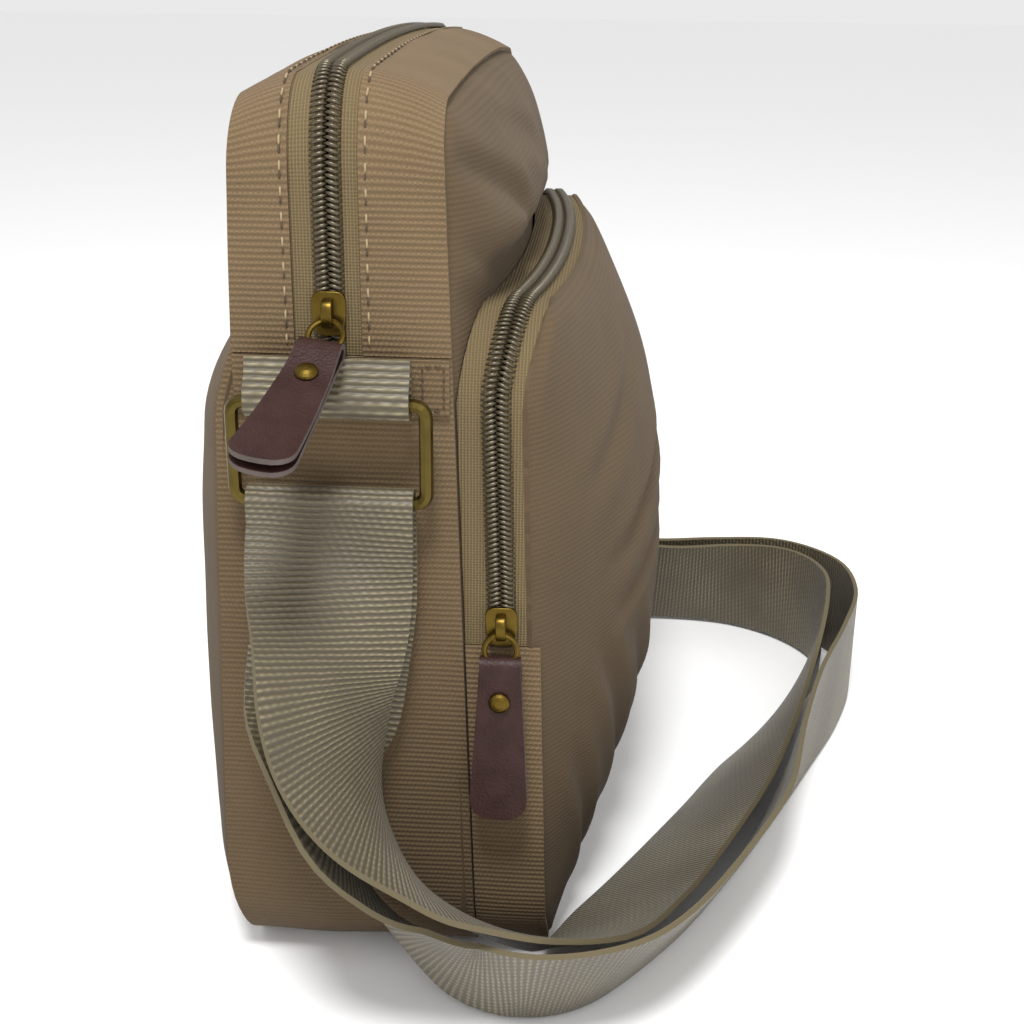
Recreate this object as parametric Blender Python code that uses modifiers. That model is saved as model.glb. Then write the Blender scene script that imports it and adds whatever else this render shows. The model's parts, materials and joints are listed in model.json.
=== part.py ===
"""Canvas messenger bag with webbing shoulder strap, built as an assembly of separate pieces.

Metres, +Z up.  The origin is the middle of the base.  X runs along the bag's width, the front
with its zipped pocket faces -Y, and the end at -X is called the near end.
"""
import math

import bmesh
import bpy
from mathutils import Matrix, Vector

# ---------------------------------------------------------------- driving dimensions
MM = 0.001
BAG_WIDTH = 0.210
BAG_HEIGHT = 0.2215
TOP_CROWN = 0.0025
TOP_DOME = 0.006
DOME_START = 0.200
DEPTH_AT_BASE = 0.061
DEPTH_AT_TOP = 0.046
TOP_CORNER = 0.016
BASE_CORNER = 0.024
FRONT_PUFF = 0.014
BACK_PUFF = 0.016
BACK_PUFF_CENTRE = 0.100

CANVAS = 0.0015
LINING = 0.0006
GAP = 0.0004
SEAM_TUCK = 0.001
FLAT_RIM = 0.003

ZIP_CENTRE = 0.002
COIL_GAP = 0.0009
COIL_WIDTH = 0.0028
COIL_THICK = 0.0022
COIL_RISE = 0.0003
TAPE_THICK = 0.0008
TAPE_SINK = 0.0006
TAPE_START = 0.0042

GUSSET_TOP = 0.166
MOUTH_HINGE = 0.176
MOUTH_SPLIT_GAP = 0.0006
NEAR_COIL_SPLIT = 0.205
REAR_TAPE_EDGE = 0.0083
FRONT_TAPE_EDGE = 0.0070

POCKET_DEPTH = 0.018
POCKET_TOP = 0.1754
POCKET_INSET = 0.0017
POCKET_PUFF = 0.017
POCKET_TOP_CORNER = 0.024
POCKET_ZIP_END = 0.095
POCKET_COIL_SPLIT = 0.167
POCKET_CHAIN_CENTRE = 0.009
POCKET_CANVAS = 0.0012

BACK_ZIP_HEIGHT = 0.182
BACK_ZIP_TAPE_EDGE = 0.0078
BACK_ZIP_LEAN = 0.10

WEBBING_WIDTH = 0.038
WEBBING_THICK = 0.0014
RING_WIRE = 0.0032
RING_INNER_WIDTH = 0.0405
RING_TOP_BAR = 0.157
RING_LOWER_BAR = 0.134
RING_CORNER = 0.0026
RING_STAND_OFF = 0.0056
TAB_TOP_RISE = 0.0005
PATCH_THICK = 0.0010
PATCH_LOW = 0.0125
PATCH_EDGE = 0.0005
ADJUSTER_WIRE = 0.003
ADJUSTER_HEIGHT = 0.024
ADJUSTER_X = 0.112
ADJUSTER_Z = 0.085
SEWN_END = 0.024

MAIN_SLIDER_HEIGHT = 0.176
POCKET_SLIDER_HEIGHT = 0.101
BACK_SLIDER_X = 0.088
SLIDER_LENGTH = 0.010
SLIDER_HALF_WIDTH = 0.0039
PLATE = 0.0011
PLATE_OUT = COIL_RISE + GAP
BRIDGE_HEIGHT = 0.0032
BRIDGE_HOLE = 0.0011
BRIDGE_HALF_WIDTH = 0.0011
PULL_RING_RADIUS = 0.0039
PULL_RING_WIRE = 0.0014
LEATHER_THICK = 0.0012
LEATHER_LENGTH = 0.040
LEATHER_TOP_WIDTH = 0.0098
LEATHER_TIP_WIDTH = 0.0146
RIVET_BELOW_FOLD = 0.0088
RIVET_RADIUS = 0.0026
RIVET_POST = 0.0010
RING_WAY_CLEARANCE = 0.0005
RING_WAY_TURNS = (0, 8, 16, 24)

ARC_STEPS = 4
RUN_STEP = 0.026
RING_SCALES = (1.0, 0.92, 0.76, 0.50)

HALF_WIDTH = BAG_WIDTH / 2
SLOPE = (DEPTH_AT_BASE - DEPTH_AT_TOP) / 2 / BAG_HEIGHT

# ---------------------------------------------------------------- materials
COLOURS = {
    "canvas": ((0.235, 0.165, 0.098), 0.90, 0.0),
    "lining": ((0.060, 0.048, 0.036), 0.85, 0.0),
    "zip_tape": ((0.190, 0.160, 0.090), 0.80, 0.0),
    "zip_coil": ((0.110, 0.095, 0.070), 0.35, 0.6),
    "brass": ((0.330, 0.225, 0.070), 0.35, 1.0),
    "leather": ((0.075, 0.024, 0.020), 0.50, 0.0),
    "webbing": ((0.165, 0.140, 0.085), 0.70, 0.0),
}


def make_material(name):
    colour, roughness, metallic = COLOURS[name]
    material = bpy.data.materials.new(name)
    material.use_nodes = True
    shader = material.node_tree.nodes["Principled BSDF"]
    shader.inputs["Base Color"].default_value = (*colour, 1.0)
    shader.inputs["Roughness"].default_value = roughness
    shader.inputs["Metallic"].default_value = metallic
    return material


# ---------------------------------------------------------------- scene and object helpers
def clear_scene():
    for obj in list(bpy.data.objects):
        bpy.data.objects.remove(obj, do_unlink=True)


def new_collection(name):
    collection = bpy.data.collections.new(name)
    bpy.context.scene.collection.children.link(collection)
    return collection


def add_mesh(name, bm, material, collection=None, smooth=True):
    mesh = bpy.data.meshes.new(name)
    bm.to_mesh(mesh)
    bm.free()
    mesh.materials.append(MATERIALS[material])
    if smooth:
        mesh.shade_smooth()
    obj = bpy.data.objects.new(name, mesh)
    (collection or PARTS).objects.link(obj)
    return obj


def add_empty(name, matrix):
    empty = bpy.data.objects.new(name, None)
    PARTS.objects.link(empty)
    empty.matrix_world = matrix
    return empty


def solidify(obj, thickness, offset=-1.0):
    modifier = obj.modifiers.new("thickness", "SOLIDIFY")
    modifier.thickness = thickness
    modifier.offset = offset
    modifier.use_even_offset = True
    return obj


def boolean(obj, cutter, operation):
    modifier = obj.modifiers.new(operation.lower(), "BOOLEAN")
    modifier.operation = operation
    modifier.solver = "EXACT"
    modifier.object = cutter


def hide_cutter(cutter):
    cutter.hide_render = True
    cutter.display_type = "WIRE"
    return cutter


def box_mesh(low, high):
    bm = bmesh.new()
    bmesh.ops.create_cube(bm, size=1.0)
    size = Vector(high) - Vector(low)
    middle = (Vector(high) + Vector(low)) / 2
    for vertex in bm.verts:
        vertex.co = Vector((vertex.co[k] * size[k] for k in range(3))) + middle
    return bm


def box_cutter(name, low, high):
    return hide_cutter(add_mesh(name, box_mesh(low, high), "brass", CUTTERS, smooth=False))


def curve_tube(name, points, wire, material, cyclic=False, collection=None):
    """A round wire along a list of points."""
    curve = bpy.data.curves.new(name, "CURVE")
    curve.dimensions = "3D"
    curve.bevel_depth = wire / 2
    curve.bevel_resolution = 2
    curve.use_fill_caps = not cyclic
    spline = curve.splines.new("POLY")
    spline.points.add(len(points) - 1)
    for target, point in zip(spline.points, points):
        target.co = (*point, 1.0)
    spline.use_cyclic_u = cyclic
    curve.materials.append(MATERIALS[material])
    obj = bpy.data.objects.new(name, curve)
    (collection or PARTS).objects.link(obj)
    return obj


# ---------------------------------------------------------------- the bag's outer form
def half_depth(z):
    return DEPTH_AT_BASE / 2 - SLOPE * z


def top_dome(y, z):
    """How far the top rises towards the zip, above the level of its two seams."""
    share = min(1.0, max(0.0, (z - DOME_START) / (BAG_HEIGHT - DOME_START)))
    across = max(0.0, 1.0 - (y / half_depth(BAG_HEIGHT)) ** 2)
    return TOP_DOME * across * share * share * (3.0 - 2.0 * share)


def bulge(distance, reach, power, ease):
    ratio = min(1.0, abs(distance) / reach)
    return (1.0 - ratio ** power) ** ease


def front_puff(x, z):
    across = bulge(x, HALF_WIDTH - FLAT_RIM, 2.2, 0.8)
    upward = bulge(z - BAG_HEIGHT / 2, BAG_HEIGHT / 2 - FLAT_RIM, 2.6, 0.8)
    return FRONT_PUFF * across * upward


def back_puff(x, z):
    above = z > BACK_PUFF_CENTRE
    reach = BAG_HEIGHT - BACK_PUFF_CENTRE if above else BACK_PUFF_CENTRE
    upward = bulge(z - BACK_PUFF_CENTRE, reach - FLAT_RIM, 2.0, 1.5)
    return BACK_PUFF * bulge(x, HALF_WIDTH - FLAT_RIM, 2.0, 1.0) * upward


def front_y(x, z):
    return -half_depth(z) + SEAM_TUCK - front_puff(x, z)


def back_y(x, z):
    return half_depth(z) - SEAM_TUCK + back_puff(x, z)


def back_zip_y(x, z):
    """The back zip bows with the panel but keeps one lean, so that its slider can run along it."""
    return back_y(x, BACK_ZIP_HEIGHT) - BACK_ZIP_LEAN * (z - BACK_ZIP_HEIGHT)


def pocket_base_y(x, z):
    """Where the pocket's edge strip starts, just in front of the front panel."""
    return -half_depth(z) - GAP - front_puff(x, z)


def pocket_front_y(x, z):
    across = bulge(x, HALF_WIDTH - 2 * FLAT_RIM, 2.0, 0.9)
    upward = bulge(z - POCKET_TOP / 2, POCKET_TOP / 2 - FLAT_RIM, 2.2, 0.8)
    return pocket_base_y(x, z) - POCKET_DEPTH + SEAM_TUCK - POCKET_PUFF * across * upward


def rounded_loop(half_width, bottom, top, r_bottom, r_top):
    """Points (x, z) round a rectangle with round corners, anticlockwise seen from the front."""
    corners = (
        (half_width - r_bottom, bottom + r_bottom, r_bottom, -90),
        (half_width - r_top, top - r_top, r_top, 0),
        (r_top - half_width, top - r_top, r_top, 90),
        (r_bottom - half_width, bottom + r_bottom, r_bottom, 180),
    )
    arcs = []
    for centre_x, centre_z, radius, start in corners:
        for step in range(ARC_STEPS + 1):
            angle = math.radians(start + 90 * step / ARC_STEPS)
            arcs.append((centre_x + radius * math.cos(angle), centre_z + radius * math.sin(angle)))
    loop = []
    for (x0, z0), (x1, z1) in zip(arcs, arcs[1:] + arcs[:1]):
        count = max(1, round(math.hypot(x1 - x0, z1 - z0) / RUN_STEP))
        for step in range(count):
            part = step / count
            loop.append((x0 + (x1 - x0) * part, z0 + (z1 - z0) * part))
    return loop


def bag_loop(inset):
    """The bag's outline, its top edge crowned a little in the middle."""
    flat = rounded_loop(
        HALF_WIDTH - inset, inset, BAG_HEIGHT - inset, BASE_CORNER - inset, TOP_CORNER - inset
    )
    shoulder = BAG_HEIGHT - inset - FLAT_RIM / 4
    return [
        (x, z + (TOP_CROWN * (1.0 - (x / (HALF_WIDTH - TOP_CORNER)) ** 2) if z > shoulder else 0.0))
        for x, z in flat
    ]


def pocket_loop(inset):
    return rounded_loop(
        HALF_WIDTH - POCKET_INSET - inset,
        inset,
        POCKET_TOP - inset,
        BASE_CORNER - inset,
        POCKET_TOP_CORNER - inset,
    )


def cut_and_keep(bm, heights, keep):
    """Cuts the surface level at each height and drops the faces that keep() refuses."""
    for height in heights:
        geometry = bm.verts[:] + bm.edges[:] + bm.faces[:]
        bmesh.ops.bisect_plane(
            bm, geom=geometry, dist=1e-7, plane_co=(0, 0, height), plane_no=(0, 0, 1)
        )
    dropped = [face for face in bm.faces if not keep(face.calc_center_median())]
    bmesh.ops.delete(bm, geom=dropped, context="FACES")


def point_faces(bm, outward):
    """Turns the surface so that its faces look along outward(centre)."""
    score = sum(
        face.normal.dot(outward(face.calc_center_median())) * face.calc_area() for face in bm.faces
    )
    if score < 0:
        bmesh.ops.reverse_faces(bm, faces=bm.faces[:])


def domed_panel(name, loop, depth_at, side, thickness, material, low=-1.0, high=1.0):
    """A sewn panel: rings of the loop, drawn in to its middle and puffed by depth_at(x, z)."""
    middle_x = 0.0
    middle_z = (min(z for _, z in loop) + max(z for _, z in loop)) / 2
    bm = bmesh.new()
    rings = []
    for scale in RING_SCALES:
        ring = []
        for x, z in loop:
            px = middle_x + (x - middle_x) * scale
            pz = middle_z + (z - middle_z) * scale
            ring.append(bm.verts.new((px, depth_at(px, pz), pz)))
        rings.append(ring)
    count = len(loop)
    for outer, inner in zip(rings, rings[1:]):
        for k in range(count):
            nxt = (k + 1) % count
            bm.faces.new((outer[k], outer[nxt], inner[nxt], inner[k]))
    hub = bm.verts.new((middle_x, depth_at(middle_x, middle_z), middle_z))
    for k in range(count):
        bm.faces.new((rings[-1][k], rings[-1][(k + 1) % count], hub))
    bm.normal_update()
    point_faces(bm, lambda centre: Vector((0, side, 0)))
    heights = [height for height in (low, high) if 0 < height < BAG_HEIGHT]
    cut_and_keep(bm, heights, lambda centre: low < centre.z < high)
    return solidify(add_mesh(name, bm, material), thickness)


def band(name, loop, edge_a, edge_b, thickness, material, keep, heights, columns=2, dome=top_dome):
    """A strip sewn round the bag's rim, from edge_a(x, z) to edge_b(x, z) across its depth."""
    bm = bmesh.new()
    rows = []
    for x, z in loop:
        a = edge_a(x, z)
        b = edge_b(x, z)
        row = [(x, a + (b - a) * k / columns) for k in range(columns + 1)]
        rows.append([bm.verts.new((px, py, z + dome(py, z))) for px, py in row])
    for row, after in zip(rows, rows[1:] + rows[:1]):
        for k in range(columns):
            bm.faces.new((row[k], row[k + 1], after[k + 1], after[k]))
    bm.normal_update()
    middle = Vector((0, 0, BAG_HEIGHT / 2))
    point_faces(bm, lambda centre: Vector((centre.x, 0, centre.z)) - middle)
    cut_and_keep(bm, heights, keep)
    return solidify(add_mesh(name, bm, material), thickness)


# ---------------------------------------------------------------- bag body
def build_body():
    split_low = MOUTH_HINGE - MOUTH_SPLIT_GAP / 2
    split_high = MOUTH_HINGE + MOUTH_SPLIT_GAP / 2
    gusset = band(
        "gusset",
        bag_loop(0.0),
        lambda x, z: -half_depth(z),
        lambda x, z: half_depth(z),
        CANVAS,
        "canvas",
        lambda c: c.z < split_low,
        [split_low],
    )
    notch = box_cutter(
        "zip_notch",
        (-HALF_WIDTH - 0.01, ZIP_CENTRE - TAPE_START - GAP / 4, GUSSET_TOP),
        (HALF_WIDTH + 0.01, 0.05, 2 * BAG_HEIGHT),
    )
    boolean(gusset, notch, "DIFFERENCE")

    panel_inset = CANVAS + GAP
    domed_panel(
        "front_panel_lower", bag_loop(panel_inset), front_y, -1, CANVAS, "canvas", high=split_low
    )
    domed_panel(
        "front_panel_upper", bag_loop(panel_inset), front_y, -1, CANVAS, "canvas", low=split_high
    )
    zip_low = BACK_ZIP_HEIGHT - BACK_ZIP_TAPE_EDGE
    zip_high = BACK_ZIP_HEIGHT + BACK_ZIP_TAPE_EDGE
    domed_panel(
        "back_panel_lower", bag_loop(panel_inset), back_y, 1, CANVAS, "canvas", high=zip_low
    )
    domed_panel(
        "back_panel_upper", bag_loop(panel_inset), back_y, 1, CANVAS, "canvas", low=zip_high
    )
    build_zip_strips(split_high)
    build_back_zip()
    build_lining(split_low)


def build_zip_strips(split_high):
    """The strips of canvas, tape and coil that run over the top between the two tabs."""
    above_tab = GUSSET_TOP + GAP
    coil_inner = COIL_GAP
    coil_outer = COIL_GAP + COIL_WIDTH
    rear_canvas = ZIP_CENTRE + REAR_TAPE_EDGE
    front_canvas = ZIP_CENTRE - FRONT_TAPE_EDGE

    def over(height):
        return lambda c: c.z > height

    def front_coil_main(c):
        return c.z > (NEAR_COIL_SPLIT if c.x < 0 else split_high)

    def front_coil_end(c):
        return c.x < 0 and above_tab < c.z < NEAR_COIL_SPLIT - GAP

    band(
        "zip_strip_rear",
        bag_loop(0.0),
        lambda x, z: rear_canvas,
        lambda x, z: half_depth(z),
        CANVAS,
        "canvas",
        over(above_tab),
        [above_tab],
    )
    band(
        "zip_strip_front",
        bag_loop(0.0),
        lambda x, z: -half_depth(z),
        lambda x, z: front_canvas,
        CANVAS,
        "canvas",
        over(split_high),
        [split_high],
    )
    band(
        "zip_tape_rear",
        bag_loop(TAPE_SINK),
        lambda x, z: ZIP_CENTRE + TAPE_START,
        lambda x, z: rear_canvas - GAP,
        TAPE_THICK,
        "zip_tape",
        over(above_tab),
        [above_tab],
        columns=1,
    )
    band(
        "zip_tape_front",
        bag_loop(TAPE_SINK),
        lambda x, z: front_canvas + GAP,
        lambda x, z: ZIP_CENTRE - TAPE_START,
        TAPE_THICK,
        "zip_tape",
        over(split_high),
        [split_high],
        columns=1,
    )
    band(
        "zip_coil_rear",
        bag_loop(-COIL_RISE),
        lambda x, z: ZIP_CENTRE + coil_inner,
        lambda x, z: ZIP_CENTRE + coil_outer,
        COIL_THICK,
        "zip_coil",
        over(above_tab),
        [above_tab],
        columns=1,
    )
    for name, keep in (("zip_coil_front", front_coil_main), ("zip_coil_front_end", front_coil_end)):
        band(
            name,
            bag_loop(-COIL_RISE),
            lambda x, z: ZIP_CENTRE - coil_outer,
            lambda x, z: ZIP_CENTRE - coil_inner,
            COIL_THICK,
            "zip_coil",
            keep,
            [above_tab, split_high, NEAR_COIL_SPLIT - GAP, NEAR_COIL_SPLIT],
            columns=1,
        )


def build_back_zip():
    """The level zip across the back panel, with the pouch that hangs behind it."""
    inset = CANVAS + GAP
    coil_edge = COIL_GAP + COIL_WIDTH
    tape_edge = BACK_ZIP_TAPE_EDGE - GAP

    def sunk(x, z):
        return back_zip_y(x, z) - TAPE_SINK / 2

    def raised(x, z):
        return back_zip_y(x, z) + COIL_RISE

    for side, word in ((1, "upper"), (-1, "lower")):
        tape = sorted(BACK_ZIP_HEIGHT + side * edge for edge in (TAPE_START, tape_edge))
        coil = sorted(BACK_ZIP_HEIGHT + side * edge for edge in (COIL_GAP, coil_edge))
        domed_panel(
            "back_tape_" + word, bag_loop(inset), sunk, 1, TAPE_THICK, "zip_tape", *tape
        )
        domed_panel(
            "back_coil_" + word, bag_loop(inset), raised, 1, COIL_THICK, "zip_coil", *coil
        )
    pouch_inset = 0.012
    pouch_behind = CANVAS + 2 * GAP
    domed_panel(
        "back_pouch",
        bag_loop(pouch_inset),
        lambda x, z: back_y(x, z) - pouch_behind,
        1,
        LINING,
        "lining",
        high=BACK_ZIP_HEIGHT - BACK_ZIP_TAPE_EDGE,
    )


def build_lining(split_low):
    """The lining of the main compartment: a band and two panels inside the canvas."""
    band_inset = CANVAS + GAP
    lining_top = GUSSET_TOP - 0.003
    panel_inset = band_inset + LINING + GAP
    front_behind = CANVAS + GAP
    back_behind = CANVAS + LINING + 4 * GAP
    tuck = 0.0026
    band(
        "lining_gusset",
        bag_loop(band_inset),
        lambda x, z: -half_depth(z) + tuck + front_behind,
        lambda x, z: half_depth(z) - tuck - back_behind,
        LINING,
        "lining",
        lambda c: c.z < lining_top,
        [lining_top],
    )
    domed_panel(
        "lining_front",
        bag_loop(panel_inset),
        lambda x, z: front_y(x, z) + front_behind,
        -1,
        LINING,
        "lining",
        high=split_low - 0.002,
    )
    domed_panel(
        "lining_back",
        bag_loop(panel_inset),
        lambda x, z: back_y(x, z) - back_behind,
        1,
        LINING,
        "lining",
        high=BACK_ZIP_HEIGHT - 0.012,
    )


# ---------------------------------------------------------------- front pocket
def build_pocket():
    zip_end = POCKET_ZIP_END
    chain = POCKET_CHAIN_CENTRE
    coil_outer = COIL_GAP + COIL_WIDTH

    def at(distance):
        return lambda x, z: pocket_base_y(x, z) - distance

    def above(c):
        return c.z > zip_end + GAP

    def outer_coil_main(c):
        return c.z > (POCKET_COIL_SPLIT if c.x < 0 else zip_end + GAP)

    def outer_coil_end(c):
        return c.x < 0 and zip_end + GAP < c.z < POCKET_COIL_SPLIT - GAP

    band(
        "pocket_gusset",
        pocket_loop(0.0),
        at(POCKET_DEPTH),
        at(0.0),
        POCKET_CANVAS,
        "canvas",
        lambda c: c.z < zip_end - GAP,
        [zip_end - GAP],
    )
    cuts = [zip_end + GAP, POCKET_COIL_SPLIT - GAP, POCKET_COIL_SPLIT]
    strips = (
        ("pocket_tape_inner", TAPE_SINK, 0.0, chain - TAPE_START, TAPE_THICK, "zip_tape", above),
        ("pocket_tape_outer", TAPE_SINK, chain + TAPE_START, POCKET_DEPTH, TAPE_THICK, "zip_tape",
         above),
        ("pocket_coil_inner", -COIL_RISE, chain - coil_outer, chain - COIL_GAP, COIL_THICK,
         "zip_coil", above),
        ("pocket_coil_outer", -COIL_RISE, chain + COIL_GAP, chain + coil_outer, COIL_THICK,
         "zip_coil", outer_coil_main),
        ("pocket_coil_outer_end", -COIL_RISE, chain + COIL_GAP, chain + coil_outer, COIL_THICK,
         "zip_coil", outer_coil_end),
    )
    for name, inset, start, stop, thick, material, keep in strips:
        band(name, pocket_loop(inset), at(stop), at(start), thick, material, keep, cuts, columns=1)

    inset = POCKET_CANVAS + GAP
    domed_panel(
        "pocket_front_lower", pocket_loop(inset), pocket_front_y, -1, CANVAS, "canvas",
        high=zip_end - MOUTH_SPLIT_GAP / 2,
    )
    domed_panel(
        "pocket_front_upper", pocket_loop(inset), pocket_front_y, -1, CANVAS, "canvas",
        low=zip_end + MOUTH_SPLIT_GAP / 2,
    )


# ---------------------------------------------------------------- sliders and pulls

def build_slider(name, matrix):
    """A zip slider: two plates joined by a neck, with a bridge that holds the pull ring.

    Local frame: -X out of the bag, Z along the chain, origin on the bag's surface.
    """
    half_length = SLIDER_LENGTH / 2
    inner_top = PLATE_OUT - COIL_THICK - 2 * GAP
    plate = box_mesh(
        (-PLATE_OUT - PLATE, -SLIDER_HALF_WIDTH, -half_length),
        (-PLATE_OUT, SLIDER_HALF_WIDTH, half_length),
    )
    slider = add_mesh(name, plate, "brass", smooth=False)
    under = box_cutter(
        name + "_under_plate",
        (-inner_top, -SLIDER_HALF_WIDTH, -half_length),
        (-inner_top + PLATE, SLIDER_HALF_WIDTH, half_length),
    )
    neck = box_cutter(
        name + "_neck",
        (-PLATE_OUT - PLATE / 2, -0.0005, -half_length + 0.0006),
        (-inner_top + PLATE / 2, 0.0005, -half_length + 0.0036),
    )
    bridge = box_cutter(
        name + "_bridge",
        (-PLATE_OUT - PLATE - BRIDGE_HEIGHT, -BRIDGE_HALF_WIDTH, -0.0030),
        (-PLATE_OUT - PLATE / 2, BRIDGE_HALF_WIDTH, 0.0034),
    )
    hole = bmesh.new()
    bmesh.ops.create_cone(
        hole, cap_ends=True, segments=20, radius1=BRIDGE_HOLE, radius2=BRIDGE_HOLE, depth=0.008,
        matrix=Matrix.Translation(ring_hinge_local()) @ Matrix.Rotation(math.pi / 2, 4, "X"),
    )
    eye = hide_cutter(add_mesh(name + "_eye", hole, "brass", CUTTERS))
    for tool, operation in ((under, "UNION"), (neck, "UNION"), (bridge, "UNION"), (eye, "DIFFERENCE")):
        tool.matrix_world = matrix
        boolean(slider, tool, operation)
    slider.matrix_world = matrix
    return slider


def ring_hinge_local():
    return Vector((-PLATE_OUT - PLATE - BRIDGE_HOLE - 0.0005, 0.0, -0.0012))


def ring_points(radius, count=24):
    """A circle in the local YZ plane, below the origin, which lies on its top."""
    points = []
    for step in range(count):
        angle = 2 * math.pi * step / count
        points.append((0.0, radius * math.sin(angle), -radius + radius * math.cos(angle)))
    return points


def leather_half_width(distance):
    """Half the pull's width at a distance from its fold: a taper with a round tip."""
    part = distance / LEATHER_LENGTH
    width = LEATHER_TOP_WIDTH + (LEATHER_TIP_WIDTH - LEATHER_TOP_WIDTH) * part
    tip = 0.0050
    left = max(0.0, LEATHER_LENGTH - distance)
    if left < tip:
        reach = 1.0 - left / tip
        width *= 0.42 + 0.58 * math.sqrt(max(0.0, 1.0 - reach * reach))
    return width / 2


def leather_path(curl, spread):
    """Centre line of the folded pull in the local XZ plane: back layer tip, fold, front tip.

    curl is the angle by which the pull bends outward on its way to the tip.  spread is how far
    the two layers stand apart.
    """
    layer = (LEATHER_THICK + 0.0003) / 2
    fold_radius = PULL_RING_WIRE / 2 + 0.0006 + LEATHER_THICK / 2
    steps = 8
    start = 0.004

    def spine(distance):
        x = 0.0
        z = 0.0
        pieces = 24
        for piece in range(pieces):
            share = (piece + 0.5) / pieces * distance / LEATHER_LENGTH
            angle = curl * share
            x -= math.sin(angle) * distance / pieces
            z -= math.cos(angle) * distance / pieces
        return Vector((x, 0, z)), curl * distance / LEATHER_LENGTH

    def layer_point(distance, side):
        point, angle = spine(distance)
        ease = min(1.0, distance / (start + 0.004))
        offset = fold_radius + (layer - fold_radius) * ease * ease * (3 - 2 * ease)
        tip = max(0.0, distance / LEATHER_LENGTH - 0.45) / 0.55
        offset += spread * tip * tip
        outward = Vector((-math.cos(angle), 0, math.sin(angle)))
        return point + outward * offset * side, distance

    back = [layer_point(LEATHER_LENGTH * (1 - k / steps), -1) for k in range(steps)]
    turn = []
    for k in range(7):
        angle = math.pi * k / 6
        turn.append(
            (Vector((fold_radius * math.cos(angle), 0, fold_radius * math.sin(angle))), 0.0)
        )
    front = [layer_point(LEATHER_LENGTH * (k + 1) / steps, 1) for k in range(steps)]
    return back + turn + front


def build_leather(name, matrix, ring_matrix, curl, spread):
    """The leather tab folded double over its ring, holed for the ring and the rivet."""
    bm = bmesh.new()
    columns = 4
    rows = []
    for point, distance in leather_path(curl, spread):
        half = leather_half_width(distance)
        rows.append(
            [bm.verts.new((point.x, half * (2 * k / columns - 1), point.z)) for k in range(columns + 1)]
        )
    for row, after in zip(rows, rows[1:]):
        for k in range(columns):
            bm.faces.new((row[k], row[k + 1], after[k + 1], after[k]))
    bm.normal_update()
    leather = solidify(add_mesh(name, bm, "leather"), LEATHER_THICK, offset=0.0)
    leather.matrix_world = matrix

    for turn in RING_WAY_TURNS:
        ring_way = bmesh.new()
        make_torus(ring_way, PULL_RING_RADIUS, PULL_RING_WIRE / 2 + RING_WAY_CLEARANCE)
        tool = hide_cutter(add_mesh(name + "_ring_way", ring_way, "brass", CUTTERS))
        swung = Matrix.Rotation(-math.radians(turn), 4, "Y")
        tool.matrix_world = matrix @ swung @ matrix.inverted() @ ring_matrix
        boolean(leather, tool, "DIFFERENCE")

    rivet_matrix = matrix @ rivet_local(curl)
    post_way = bmesh.new()
    bmesh.ops.create_cone(
        post_way, cap_ends=True, segments=20, radius1=RIVET_POST + 0.0003,
        radius2=RIVET_POST + 0.0003, depth=0.010, matrix=Matrix.Rotation(math.pi / 2, 4, "Y"),
    )
    post = hide_cutter(add_mesh(name + "_post_way", post_way, "brass", CUTTERS))
    post.matrix_world = rivet_matrix
    boolean(leather, post, "DIFFERENCE")
    return rivet_matrix


def make_torus(bm, radius, tube, major=24, minor=8):
    """A torus in the local YZ plane whose top passes through the origin."""
    rows = []
    for i in range(major):
        turn = 2 * math.pi * i / major
        row = []
        for j in range(minor):
            side = 2 * math.pi * j / minor
            reach = radius + tube * math.cos(side)
            y = reach * math.sin(turn)
            z = -radius + reach * math.cos(turn)
            row.append(bm.verts.new((tube * math.sin(side), y, z)))
        rows.append(row)
    for i in range(major):
        for j in range(minor):
            a = rows[i][j]
            b = rows[i][(j + 1) % minor]
            c = rows[(i + 1) % major][(j + 1) % minor]
            d = rows[(i + 1) % major][j]
            bm.faces.new((a, b, c, d))
    bmesh.ops.recalc_face_normals(bm, faces=bm.faces[:])


def rivet_local(curl):
    """Where the rivet's axis crosses the pull, its local X along the axis."""
    angle = curl * RIVET_BELOW_FOLD / LEATHER_LENGTH
    drop = RIVET_BELOW_FOLD
    x = -math.sin(angle / 2) * drop
    z = -math.cos(angle / 2) * drop
    return Matrix.Translation((x, 0, z)) @ Matrix.Rotation(angle, 4, "Y")


def build_rivet(name, matrix):
    """A domed rivet: cap, post through both layers and a flat back, turned about its axis."""
    face = LEATHER_THICK + 0.0003 / 2 + 0.0005
    cap = 0.0012
    profile = [(0.0, face + cap)]
    for step in range(1, 5):
        angle = math.pi / 2 * step / 4
        profile.append((RIVET_RADIUS * math.sin(angle), face + cap * math.cos(angle)))
    profile += [(RIVET_POST, face), (RIVET_POST, -face)]
    profile += [(RIVET_RADIUS * 0.85, -face), (RIVET_RADIUS * 0.85, -face - 0.0005)]
    profile.append((0.0, -face - 0.0005))
    bm = bmesh.new()
    points = [bm.verts.new((radius, 0, height)) for radius, height in profile]
    for first, second in zip(points, points[1:]):
        bm.edges.new((first, second))
    rivet = add_mesh(name, bm, "brass")
    screw = rivet.modifiers.new("turn", "SCREW")
    screw.steps = 20
    screw.render_steps = 20
    screw.use_merge_vertices = True
    screw.merge_threshold = 0.00001
    rivet.matrix_world = matrix @ Matrix.Rotation(-math.pi / 2, 4, "Y")
    return rivet


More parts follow.
